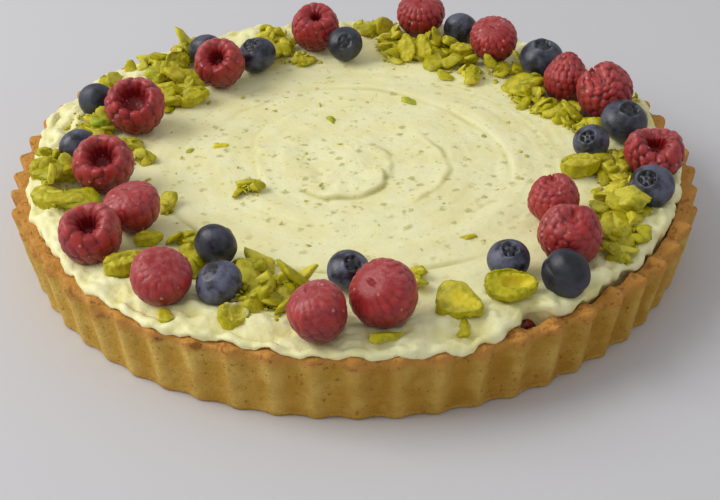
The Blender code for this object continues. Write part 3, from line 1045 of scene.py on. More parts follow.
STEP_IN, STEP_OUT, RIDGE, GROOVE = StrokeShape
STROKES = (
    Stroke(STEP_IN, 195, 195, 15, 16, 1.9, 1.1, 8, centre=(-5, -15)),
    Stroke(STEP_IN, 345, 85, 14, 28, 0.8, 1.1, 8, centre=(-5, -15)),
    Stroke(GROOVE, 140, 70, 10, 10.5, 1.0, 2.0, centre=(-3, -15)),
    Stroke(STEP_IN, 298, 112, 35.5, 33.0, 0.9, 1.0, 8, centre=(0, -5)),
    Stroke(STEP_IN, 150, 80, 38.0, 34.0, 0.6, 1.2, 7, centre=(0, -5)),
    Stroke(STEP_IN, 215, 95, 36.0, 34.0, 0.35, 1.8, 7, centre=(0, -5)),
    Stroke(STEP_OUT, 345, 118, 70, 65, 1.0, 1.2, 10, centre=(-12, -8)),
    Stroke(STEP_OUT, 345, 80, 76, 68, 0.6, 1.3, 7),
    Stroke(GROOVE, 203, 108, 74, 81, 1.0, 1.0),
    Stroke(STEP_IN, 108, 70, 46, 38, 0.5, 1.2, 8),
    Stroke(STEP_OUT, 120, 30, 58, 59, 0.4, 1.0, 8),
    Stroke(GROOVE, 312, 18, 55.5, 59.5, 0.5, 1.0),
    Stroke(STEP_IN, 255, 60, 62, 57, 0.35, 2.0, 9),
    Stroke(STEP_OUT, 40, 70, 46, 42, 0.4, 1.5, 8),
    Stroke(STEP_IN, 290, 50, 50, 45, 0.3, 1.6, 7),
    Stroke(STEP_IN, 195, 90, 52, 48, 0.4, 1.8, 9),
    Stroke(STEP_OUT, 60, 60, 80, 78, 0.4, 1.6, 8),
    Stroke(RIDGE, 10, 110, 9, 7, 0.6, 1.4),
)


def topping_circles() -> list[tuple[float, float, float]]:
    """Where the fruit and large nuts lie, from the boxes of their nodes.

    Returns:
        Each topping's middle, x and y, and its mean half width.
    """
    circles = []
    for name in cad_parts:
        if name.split("_")[0] in ("raspberry", "blueberry", "pistachio"):
            low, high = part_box(name)
            middle, size = (low + high) / 2, high - low
            circles.append((middle.x, middle.y, (size.x + size.y) / 4))
    return circles


TOPPINGS = topping_circles()


@dataclass
class Cream:
    """The pistachio cream: a spread top with spatula marks and a ragged, lumpy edge."""

    shell: Shell
    top: float = 28.6 * MM
    pitch: float = 24.0 * MM
    swirl_height: float = 0.25 * MM
    swirl_start: float = 0.6
    swirl_full_by: float = 14 * MM
    swirl_gone_by: float = 100 * MM
    curl_height: float = 1.2 * MM
    curl_radius: float = 8 * MM
    edge_start: float = 106 * MM
    edge_drop: float = 0.7 * MM
    border_height: float = 2.2 * MM
    border_radius: float = 113.5 * MM
    border_width: float = 6.5 * MM
    whipped_from: float = 95.0 * MM
    whipped_by: float = 104.0 * MM
    billows: float = 1.7 * MM
    curds: float = 1.3 * MM
    tears: float = 1.1 * MM
    seat_height: float = 1.1 * MM
    seat_share: float = 0.66
    # Soft unevenness, streaks along the spiral, and the folds pushed out near the edge
    soft_height: float = 0.44 * MM
    fold_size: float = 13 * MM
    streak_height: float = 0.24 * MM
    edge_fold_size: float = 5.5 * MM
    edge_lumps: float = 1.1 * MM
    edge_folds: float = 1.9 * MM
    edge_folds_from: float = 104 * MM
    edge_folds_by: float = 116 * MM
    grain_height: float = 0.12 * MM
    grain_size: float = 2.6 * MM
    # The folds begin this far above the bottom and are full this far below the top
    folds_above: float = 8 * MM
    folds_full: float = 6 * MM
    # The shade in the folds, from full to none, by how far they lift and push the cream
    valley_shade: tuple[float, float] = (-1.2 * MM, 0.5 * MM)
    pushed_shade: tuple[float, float] = (-0.9 * MM, 0.2 * MM)
    # Where the flecks of the middle begin to thin out, and where few are left
    flecked_within: float = 45 * MM
    flecked_by: float = 96 * MM
    # The line of the cream's edge: angle and distance from the middle in millimetres
    edge_line: tuple = (
        (0, 119.5), (10, 119.5), (20, 121.5), (35, 123), (60, 124.3), (120, 124.3), (138, 122),
        (148, 123.5), (155, 121), (163, 123), (172, 120), (185, 119.4), (195, 119.8), (205, 119.8),
        (215, 121), (226, 123.4), (240, 124.8), (250, 123), (258, 125), (275, 125.4), (286, 125),
        (292, 122), (304, 119.4), (315, 118.5), (325, 118.8), (335, 119.2), (345, 119.5),
    )
    ragged: float = 1.6 * MM
    ragged_size: float = 8 * MM
    outermost: float = 125.9 * MM
    # The shoulder's round, the share of its drop that the face takes, and the gaps below
    shoulder: float = 2.6 * MM
    shoulder_height: float = 2.2 * MM
    face_share: float = 0.45
    face_lean: float = 0.5 * MM
    tuck: float = 1.0 * MM
    over_rim: float = 0.3 * MM
    under_rim: float = 0.1 * MM
    off_wall: float = 0.4 * MM
    bottom: float = 9.2 * MM
    # The notch where the filling shows
    notch_angle: float = 298.7
    notch_spread: float = 2.4
    notch_depth: float = 6.5 * MM
    columns: int = 640
    strokes: tuple[Stroke, ...] = STROKES

    def near_toppings(self, place: np.ndarray) -> np.ndarray:
        """The highest of a bell round each of the fruit and large nuts.

        Args:
            place: Points, coordinates on the last axis.

        Returns:
            1 under the middle of a topping, falling to 0 beside it.
        """
        near = np.zeros(place.shape[:-1])
        for x, y, size in TOPPINGS:
            away = np.hypot(place[..., 0] - x, place[..., 1] - y)
            near = np.maximum(near, bell(away, 0.0, self.seat_share * size))
        return near

    def height(self, radius: np.ndarray, angle: np.ndarray) -> np.ndarray:
        """The cream's top.

        A spiral wave cos(t) + 0.35 cos(2t + 0.9), whose phase t grows by a turn with each
        pitch of radius and each turn of angle, plus the curl in the middle, the spatula
        marks, streaks drawn out along the spiral, a lumpy border near the edge, and a
        seat pressed up round each topping.

        Args:
            radius: Distance from the middle, in metres.
            angle: Direction, in degrees.

        Returns:
            The height above the underside, in metres.
        """
        turns = radius / self.pitch + angle / 360 - self.swirl_start
        wave = np.cos(TURN * turns) + 0.35 * np.cos(2 * TURN * turns + 0.9)
        fade = smooth_step(radius, 0.0, self.swirl_full_by)
        fade = fade * (1 - smooth_step(radius, 0.8 * self.swirl_gone_by, self.swirl_gone_by))
        curl = self.curl_height * bell(radius, 0.0, self.curl_radius)
        edge = smooth_step(radius, self.edge_start, self.shell.inner_rim)
        turn = np.radians(angle)
        place = points_at(radius, turn, 0.0)
        whipped = smooth_step(radius, self.whipped_from, self.whipped_by)
        streaks = fractal(drawn_out(radius, turn, 2.4, 5), 1.0, 2, seed=5)
        streaks = self.streak_height * fade * streaks
        soft = self.soft_height * fractal(place, self.fold_size, 3, seed=8)
        marks = sum(stroke.lift(radius, angle) for stroke in self.strokes)
        near = self.near_toppings(place)
        border = self.border_height * bell(radius, self.border_radius, self.border_width)
        border = (border + self.whipping(place) * whipped) * (1 - near)
        rise = self.swirl_height * wave * fade + curl + marks + streaks + soft
        return self.top + rise + border + self.seat_height * near - self.edge_drop * edge

    def whipping(self, place: np.ndarray) -> np.ndarray:
        """The border's folds: billows, sharper curds and tears drawn out along the rim.

        Each is highest where its noise crosses zero, as a number less the noise's size.

        Args:
            place: Points at any height, coordinates on the last axis.

        Returns:
            How far the folds lift the cream, in metres.
        """
        ridged = 0.6 - 2 * np.abs(fractal(place, self.fold_size, 2, seed=21))
        small = fractal(place, self.fold_size / 2, 2, seed=24)
        radius = np.hypot(place[..., 0], place[..., 1])
        turn = np.arctan2(place[..., 1], place[..., 0])
        torn = 0.5 - 2 * np.abs(fractal(drawn_out(radius, turn, 3.4, 9), 1.0, 3, seed=27))
        curdled = 0.5 * small + 0.35 - 1.2 * np.abs(small)
        return self.billows * ridged + self.curds * curdled + self.tears * torn

    def edge_radius(self, angle: np.ndarray) -> np.ndarray:
        """Where the cream ends: the edge's line, ragged by noise, less the notch.

        Args:
            angle: Directions, in degrees.

        Returns:
            The distance from the middle in each direction.
        """
        line = np.array(self.edge_line, float).T
        reach = np.interp(angle, line[0], line[1], period=360.0) * MM
        round_trip = points_at(self.shell.inner_rim, np.radians(angle), 0.0)
        ragged = self.ragged * fractal(round_trip, self.ragged_size, 4, seed=31)
        notch = bell(angle_between(angle, self.notch_angle), 0.0, self.notch_spread)
        return np.minimum(reach + ragged, self.outermost) - self.notch_depth * notch

    def rows(self, angle: np.ndarray) -> list[tuple[np.ndarray, np.ndarray]]:
        """The rings from the middle to the edge, down its face and in below.

        The shoulder is a quarter round over part of the drop to the rim, and the face
        below it takes the rest.

        Args:
            angle: The direction of each column, in degrees.

        Returns:
            The radius and the height of each ring.
        """
        edge = self.edge_radius(angle)
        rim = self.shell.rim_height(angle) + self.over_rim
        flat = np.concatenate(
            [np.linspace(0, 8, 7), np.linspace(8, 80, 81)[1:], np.linspace(80, 92, 11)[1:]]
        )
        radii = [radius + 0 * angle for radius in flat * MM]
        start, inner = edge - self.shoulder, radii[-1]
        radii += [inner + (start - inner) * share for share in np.linspace(0.0, 1.0, 37)[1:]]
        rows = [(radius, self.height(radius, angle)) for radius in radii]
        drop = np.maximum(self.height(start, angle), rim + self.shoulder_height) - rim
        for bend in quarter_round(0.15, 8):
            lowered = self.face_share + (1 - self.face_share) * math.cos(bend)
            rows.append((start + self.shoulder * math.sin(bend), rim + drop * lowered))
        for share in (0.3, 0.6, 0.9):
            face = rim + self.face_share * drop * (1 - share)
            rows.append((edge - self.face_lean * share**2, face))
        tuck = np.minimum(edge - self.tuck, self.shell.inner_rim - self.off_wall)
        rows.append((tuck, rim - self.under_rim))
        for share in (0.3, 0.65, 1.0):
            height = rim + (self.bottom - rim) * share
            wall = self.shell.inner_radius(height) - self.off_wall
            rows.append((np.minimum(tuck, wall), height))
        lowest, bottom = rows[-1]
        return rows + [(0.5 * lowest, bottom), (0 * lowest, bottom)]

    def build(self, finish: bpy.types.Material) -> None:
        """Pushes the border's folds out of the rings and paints what the material reads.

        Args:
            finish: The cream's material.
        """
        angle = np.arange(self.columns) * 360.0 / self.columns
        turn = np.radians(angle)
        rings = np.stack([points_at(radius, turn, height) for radius, height in self.rows(angle)])
        radius = np.hypot(rings[..., 0], rings[..., 1])
        full, height = self.top - self.folds_full, rings[..., 2]
        above = smooth_step(height, self.bottom + self.folds_above, full)
        whipped = smooth_step(radius, self.whipped_from, self.whipped_by) * above
        whipped = whipped * (1 - 0.8 * self.near_toppings(rings))
        at_edge = smooth_step(radius, self.edge_folds_from, self.edge_folds_by) * whipped
        folds = 1 - np.abs(fractal(rings, self.edge_fold_size, 3, seed=41))
        lumps = fractal(rings, self.edge_fold_size, 3, seed=47)
        push = at_edge * (self.edge_lumps * lumps + self.edge_folds * (folds - 0.75))
        push += whipped * self.grain_height * fractal(rings, self.grain_size, 2, seed=49)
        rings = rings + outward(rings) * push[..., None]
        degrees = np.degrees(np.arctan2(rings[..., 1], rings[..., 0]))
        # Painted shade at the foot of each spatula mark
        foot = sum(stroke.foot(radius, degrees) for stroke in self.strokes) * above
        # Painted shade in the valleys of the border's folds and where folds push in
        painted_valley_shade = 1 - smooth_step(self.whipping(rings * (1, 1, 0)), *self.valley_shade)
        painted_fold_shade = 1 - smooth_step(push, *self.pushed_shade)
        mesh = closed_mesh("spread_cream", rings)
        thinned = smooth_step(radius, self.flecked_within, self.flecked_by)
        paint(mesh, "flecked", 1 - 0.75 * thinned)
        paint(mesh, "whipped", whipped)
        # Painted shade at the foot of the marks
        paint(mesh, "foot", np.clip(0.75 * foot, 0, 1))
        # Painted shade in the border's folds
        paint(mesh, "low", np.clip(0.45 * painted_valley_shade + 0.5 * painted_fold_shade, 0, 1) * whipped)
        add_piece(mesh, finish, "cream")


class Opening(Enum):
    """How the hollow end of a raspberry looks."""

    OPEN = "a round hollow"
    DIMPLE = "a hollow that has all but closed"


@dataclass(frozen=True)
class Raspberry:
    """One raspberry: millimetres, degrees, and the form of its hollow end."""

    width: float
    length: float
    lean: float
    heading: float
    opening: Opening = Opening.OPEN
    hollow: float = 1.0
    relief: float = 0.7
    fineness: float = 1.0
    lobes: int = 0
    lobe_depth: float = 0.0
    pointed: float = 0.0
    spin: float = 0.0


RASPBERRIES = (
    Raspberry(19.8, 17.5, 20, 270, hollow=0.6, relief=0.7, fineness=0.85, spin=10),
    Raspberry(
        19.8, 17.0, 42, 255, hollow=0.8, relief=0.7, fineness=0.85, lobes=4, lobe_depth=0.015,
        spin=30,
    ),
    Raspberry(
        22.8, 16.5, 32, 270, hollow=1.15, relief=0.9, fineness=0.78, lobes=2, lobe_depth=0.03,
        spin=15,
    ),
    Raspberry(
        21.4, 18.0, 34, 275, hollow=1.0, relief=0.75, fineness=0.75, lobes=3, lobe_depth=0.04,
        spin=50,
    ),
    Raspberry(19.7, 16.0, 12, 190, Opening.DIMPLE, relief=0.45, spin=70),
    Raspberry(
        21.2, 17.5, 22, 265, hollow=0.85, relief=0.6, fineness=0.8, lobes=2, lobe_depth=0.05,
        spin=20,
    ),
    Raspberry(19.8, 16.0, 24, 300, Opening.DIMPLE, hollow=0.3, relief=0.36, spin=110),
    Raspberry(19.0, 19.0, 24, 185, Opening.DIMPLE, hollow=0.7, relief=0.42, spin=0),
    Raspberry(21.8, 19.5, 40, 225, Opening.DIMPLE, hollow=1.0, relief=0.42, spin=35),
    Raspberry(19.8, 17.5, 20, 270, Opening.DIMPLE, relief=0.8, spin=10),
    Raspberry(19.6, 17.0, 25, 255, Opening.DIMPLE, relief=0.7, spin=50),
    Raspberry(17.6, 18.5, 168, 250, relief=0.85, pointed=0.4, spin=5),
    Raspberry(22.6, 18.5, 152, 0, relief=0.85, lobes=2, lobe_depth=0.12, spin=90),
    Raspberry(
        21.8, 15.0, 14, 270, hollow=0.85, relief=1.0, fineness=0.9, lobes=2, lobe_depth=0.09
    ),
    Raspberry(17.8, 15.5, 165, 300, relief=0.6, lobes=2, lobe_depth=0.1, spin=150),
    Raspberry(21.4, 19.0, 172, 90, relief=0.65, lobes=2, lobe_depth=0.12, spin=90),
)


@dataclass
class RaspberryMaker:
    """Builds raspberries whose drupelets sit in staggered rows from the lip to the tip."""

    rows: int = 104
    columns: int = 156
    bulge: float = 0.057
    settled: float = 0.82
    jitter: float = 0.18
    # Unevenness of the whole berry and the ribs in its hollow, as shares of its width
    uneven: float = 0.035
    uneven_size: float = 11 * MM
    ribs: int = 11
    rib_height: float = 0.012
    # The dent of an end that has closed: across and along as shares of the berry's width
    # times its hollow, and deep as a share of its width
    slit_width: float = 0.028
    slit_length: float = 0.075
    slit_depth: float = 0.035
    open_profile: tuple = (
        (0.00, 0.04), (0.14, 0.10), (0.20, 0.40), (0.33, 0.50), (0.455, 0.33), (0.50, 0.10),
        (0.475, -0.12), (0.395, -0.31), (0.26, -0.44), (0.10, -0.50), (0.00, -0.51),
    )
    closed_profile: tuple = (
        (0.00, 0.48), (0.05, 0.479), (0.12, 0.47), (0.28, 0.43), (0.44, 0.30), (0.50, 0.09),
        (0.475, -0.12), (0.395, -0.31), (0.26, -0.44), (0.10, -0.50), (0.00, -0.51),
    )
    # Each row of drupelets: its place and half its length as shares of the path outside
    # the hollow, its number of drupelets, and its stagger
    drupelet_rows: tuple = (
        (0.03, 0.12, 14, 0.0), (0.185, 0.072, 18, 0.5), (0.295, 0.064, 20, 0.0),
        (0.40, 0.06, 20, 0.4), (0.50, 0.058, 18, 0.1), (0.60, 0.056, 16, 0.6),
        (0.695, 0.054, 12, 0.2), (0.785, 0.052, 9, 0.5), (0.875, 0.052, 6, 0.1),
        (0.96, 0.055, 3, 0.4),
    )

    def drupelets(
        self, along: np.ndarray, angle: np.ndarray, fineness: float, number: int
    ) -> tuple[np.ndarray, np.ndarray]:
        """The swelling of the drupelets and a random tint for each.

        In a row, the place round the berry is measured in half spacings from the nearest
        drupelet's middle, from -1 to 1, and the place along it in half lengths. Each
        drupelet is a dome sqrt(1 - 0.75 d²) of that distance d, and neighbours are joined
        softly: the fifth root of the sum of the domes' fifth powers.

        Args:
            along: Rows by one, the share of the path outside the hollow.
            angle: The angle of each column, in radians.
            fineness: Multiplies the number of drupelets in a row.
            number: The berry's number, which picks the random draws.

        Returns:
            The dome's height from 0 to 1, and a tint from 0 to 1, rows by columns.
        """
        draw = np.random.default_rng(100 + number)
        best = np.zeros((len(along), len(angle)))
        total, tint = np.zeros_like(best), np.zeros_like(best)
        for centre, half, most, stagger in self.drupelet_rows:
            count = max(3, round(most * fineness))
            turned = angle * count / TURN - stagger
            nearest = np.round(turned).astype(int) % count
            shift = draw.normal(0, self.jitter, (2, count))
            size = 1 + draw.uniform(-0.1, 0.14, count)
            shade = draw.uniform(0, 1, count)
            across = 2 * (turned - np.round(turned)) + shift[0, nearest]
            down = (along - centre) / half + shift[1, nearest][None, :]
            distance = (across[None, :] ** 2 + down**2) / size[nearest][None, :] ** 2
            dome = np.sqrt(np.clip(1 - 0.75 * distance, 0, None))
            tint = np.where(dome > best, shade[nearest][None, :], tint)
            best = np.maximum(best, dome)
            total += dome**5
        return np.minimum(total**0.2, 1.0), tint

    def body(self, berry: Raspberry) -> tuple[np.ndarray, np.ndarray, np.ndarray]:
        """The berry without its drupelets, upright round the origin.

        The profile is carried round the axis. Near the lip the wave cos(lobes * angle)
        lifts it, and the tip of a berry that lies on its hollow is bent by cos(2 * angle).

        Args:
            berry: Its sizes and form.

        Returns:
            The rings, each column's angle in radians, and each ring's share of the path
            outside the hollow, which is below 0 inside it.
        """
        profile = np.array(
            self.closed_profile if berry.opening is Opening.DIMPLE else self.open_profile
        )
        if berry.opening is Opening.OPEN:
            profile[1:3, 0] *= berry.hollow
        size = np.array([berry.width, berry.length]) * MM
        path = smooth_path(profile * size, self.rows)
        toward_tip = np.clip(path[:, 1] / path[:, 1].min(), 0, 1)
        path[:, 0] *= 1 - berry.pointed * toward_tip
        path[:, 0] = np.maximum(path[:, 0], 0)
        rings, angle = revolve(path, self.columns)
        lip = int(np.argmax(path[:, 1]))
        outside = (np.arange(self.rows)[:, None] - lip) / (self.rows - 1 - lip)
        lift = berry.lobe_depth * berry.width * MM
        rings[..., 2] += lift * bell(outside, 0.0, 0.25) * np.cos(berry.lobes * angle)
        if berry.lean > 90:
            at_tip = smooth_step(outside, 0.45, 1.0) * (1 - 0.5 * bell(outside, 1.0, 0.15))
            rings[..., 2] += at_tip * np.cos(2 * angle) * lift
        return rings, angle, outside

    def build(self, berry: Raspberry, number: int, finish: bpy.types.Material) -> None:
        """Swells the drupelets out of the body and puts the berry in its node's place.

        Args:
            berry: Its sizes and form.
            number: Its number in the wreath.
            finish: Its material.
        """
        closed = berry.opening is Opening.DIMPLE
        rings, angle, outside = self.body(berry)
        lump = fractal(rings + number, self.uneven_size, 2, seed=61)
        dome, tint = self.drupelets(outside, angle, berry.fineness, number)
        covered = smooth_step(outside, -0.16, 0.02)
        off_pole = smooth_step(np.arange(self.rows)[:, None], 4, 14)
        ribs = self.rib_height * np.cos(self.ribs * angle) * (1 - covered) * off_pole
        at_end = smooth_step(outside, 0.1, 0.3) if closed else 1.0
        swell = self.bulge * berry.relief * (dome - self.settled) + self.uneven * lump
        swell = swell * covered + ribs
        hollow = 1 - smooth_step(outside, -0.22, -0.02) + 0 * tint
        if closed:
            across, down = rings[..., 0] / self.slit_width, rings[..., 1] / self.slit_length
            off = (across**2 + down**2) / (berry.hollow * berry.width * MM) ** 2
            hollow = np.exp(-off * (1 + 0.6 * lump)) * (outside < 0.4)
            swell = swell * at_end - self.slit_depth * hollow
        rings = rings + outward(rings) * (swell * berry.width * MM)[..., None]
        spin = np.array(Matrix.Rotation(math.radians(berry.spin), 3, "Z"))
        turned = rings @ (lean_turn(berry.lean, berry.heading) @ spin).T
        node = f"raspberry_{number:02d}"
        mesh = closed_mesh(f"{node}_drupelets", settle(turned, node))
        level = (turned[..., 2] - turned[..., 2].min()) / np.ptp(turned[..., 2])
        # Painted shade between the drupelets
        crease_shade = (1 - smooth_step(dome, 0.45, 0.9)) * covered * at_end * 0.8 * berry.relief
        paint(mesh, "tint", tint * covered * at_end)
        # Painted shade, darker towards the bottom
        paint(mesh, "deep", 0.85 * (1 - smooth_step(level + 0.12 * lump, 0.12, 0.72)))
        # Real bloom, painted on the upper part, where it also stands for light from above
        paint(mesh, "bloom", smooth_step(level + 0.3 * lump, 0.5, 1.0) * covered * (1 - hollow))
        paint(mesh, "crease_shade", np.clip(crease_shade, 0, 1))
        # Painted shade in the hollow
        paint(mesh, "hollow", hollow)
        add_piece(mesh, finish, node)


@dataclass(frozen=True)
class Blueberry:
    """One blueberry: millimetres, degrees, how clear its crown is and how dusty its skin."""

    width: float
    lean: float
    heading: float
    crown: float = 1.0
    dusty: float = 0.7
    fold: float = 0.0


BLUEBERRIES = (
    Blueberry(14.8, 60, 90, dusty=0.65),
    Blueberry(16.2, 25, 210, dusty=0.65),
    Blueberry(14.4, 55, 270, dusty=0.35, crown=0.8),
    Blueberry(14.0, 90, 90, dusty=0.4),
    Blueberry(14.0, 80, 130, dusty=1.0),
    Blueberry(15.2, 75, 60, dusty=0.45, fold=0.02),
    Blueberry(15.6, 26, 210, dusty=1.0, crown=0.2, fold=0.015),
    Blueberry(14.6, 32, 300, dusty=1.0),
    Blueberry(14.6, 70, 80, dusty=0.8),
    Blueberry(18.0, 10, 270, dusty=0.5),
    Blueberry(18.0, 22, 300, dusty=0.55),
    Blueberry(13.7, 42, 235, dusty=0.85, crown=1.2),
    Blueberry(16.4, 38, 225, dusty=0.9, crown=1.3),
    Blueberry(14.4, 22, 270, dusty=1.0, crown=1.2),
    Blueberry(16.4, 100, 60, dusty=0.2, fold=0.03),
)


@dataclass
class BlueberryMaker:
    """Builds blueberries: a flattened ball with a five-pointed crown round a hollow."""

    rows: int = 76
    columns: int = 100
    middle: float = 0.01
    half_height: float = 0.405
    crown_radius: float = 0.225
    crown_height: float = 0.03
    crown_width: float = 0.028
    recess: float = 0.035
    pit_share: float = 0.66
    pit_depth: float = 0.036
    eye_width: float = 0.03
    eye_depth: float = 0.02
    uneven: float = 0.022
    uneven_size: float = 0.55
    # How the rings lie from the crown down: the even part and the part that spreads them
    ring_spacing: tuple[float, float] = (0.55, 0.45)
    # How uneven the crown is, in waves that go twice and three times round
    crown_waves: tuple[float, float] = (0.25, 0.15)
    # Where the recess ends, from whole to none, and the pits' width, in crown radii
    recess_edge: tuple[float, float] = (0.66, 0.96)
    pit_width: float = 0.2
    fold_width: float = 0.2

    def build(self, berry: Blueberry, number: int, finish: bpy.types.Material) -> None:
        """Builds one blueberry in its node's place.

        The body is an ellipse of revolution. On it, by the distance from the axis, stand a
        crown (a bell, stronger on five points), a recess inside it and five pits.

        Args:
            berry: Its sizes and looks.
            number: Its number in the wreath.
            finish: Its material.
        """
        share = np.linspace(0.0, 1.0, self.rows)
        even, spread = self.ring_spacing
        polar = math.pi * (even * share + spread * share**2)
        path = np.stack(
            [0.5 * np.sin(polar), self.middle + self.half_height * np.cos(polar)], axis=1
        )
        rings, angle = revolve(path, self.columns)
        out = path[:, 0, None]
        upper = (polar < math.pi / 2)[:, None]
        twice, thrice = self.crown_waves
        uneven = twice * np.sin(2 * angle + 1.7 * number) + thrice * np.sin(3 * angle + number)
        points = (0.5 + 0.5 * np.cos(5 * angle + number + 2 * uneven))[None, :]
        edge = self.crown_radius * (1 + 0.25 * uneven)[None, :]
        crown = bell(out, edge, self.crown_width) * (0.3 + 0.7 * points) * upper
        hollow = (1 - smooth_step(out / edge, *self.recess_edge)) * upper
        pits = bell(out / edge, self.pit_share, self.pit_width) * (1 - points) ** 1.5 * upper
        eye = bell(out, 0.0, self.eye_width) * upper
        relief = self.crown_height * crown - self.recess * hollow
        relief = relief - self.pit_depth * pits - self.eye_depth * eye
        rings[..., 2] += berry.crown * relief
        lump = fractal(rings + 3.7 * number, self.uneven_size, 2, seed=71)
        fold = bell(np.sin(angle)[None, :], 0.0, self.fold_width)
        fold = berry.fold * fold * np.sin(polar)[:, None]
        rings = rings + outward(rings) * (self.uneven * lump - fold)[..., None]
        turn = lean_turn(berry.lean, berry.heading)
        node = f"blueberry_{number:02d}"
        rings = settle(rings @ turn.T * berry.width * MM, node)
        mesh = closed_mesh(f"{node}_skin", rings)
        paint(mesh, "dusty", np.clip(berry.dusty + 0.25 * lump, 0, 1))
        paint(mesh, "ring", 0.5 * crown * points * min(berry.crown, 1.0))
        paint(mesh, "pit", np.clip(0.6 * pits + 0.4 * eye + 0.5 * hollow, 0, 1))
        add_piece(mesh, finish, node)


class KernelForm(Enum):
    """How much of a pistachio a large piece is."""

    WHOLE = "both halves, with the furrow between them"
    HALF = "one half, its cut face up"
    HOLLOW = "one half whose cut face dips in the middle"
    SLICE = "a thin cut across"


@dataclass(frozen=True)
class Kernel:
    """One large pistachio piece: millimetres, degrees and its form."""

    length: float
    width: float
    thickness: float
    heading: float
    roll: float
    form: KernelForm = KernelForm.HALF
    fresh: float = 0.3
    gold: float = 0.0
    creamy: float = 0.0


KERNELS = (
    Kernel(15.0, 9.0, 7.0, 8, 0, KernelForm.WHOLE, 0.5),
    Kernel(16.5, 12.5, 6.5, 330, 14, KernelForm.HALF, 0.5, gold=0.95),
    Kernel(18.2, 12.0, 8.5, 5, 24, KernelForm.HOLLOW, 0.1, gold=0.7),
    Kernel(15.0, 9.0, 7.5, 30, 0, KernelForm.WHOLE, 0.45),
    Kernel(10.0, 5.0, 4.5, 12, 0, KernelForm.WHOLE, 0.2),
    Kernel(12.0, 9.0, 4.0, 50, 55, KernelForm.HALF, 0.1),
    Kernel(15.0, 9.0, 6.5, 330, 0, KernelForm.WHOLE, 0.4),
    Kernel(13.0, 8.0, 7.0, 60, 20, KernelForm.HALF, 0.3),
    Kernel(12.5, 8.5, 5.5, 20, 0, KernelForm.HALF, 0.2),
    Kernel(11.5, 8.0, 4.0, 60, 60, KernelForm.HALF, 0.4),
    Kernel(6.8, 11.0, 3.6, 352, 76, KernelForm.SLICE, 0.7),
    Kernel(7.2, 11.0, 3.6, 345, 78, KernelForm.SLICE, 0.7),
    Kernel(10.5, 7.0, 5.0, 350, 0, KernelForm.HALF, 0.4),
    Kernel(12.0, 8.0, 6.0, 60, 15, KernelForm.HOLLOW, 0.5, creamy=0.9),
)


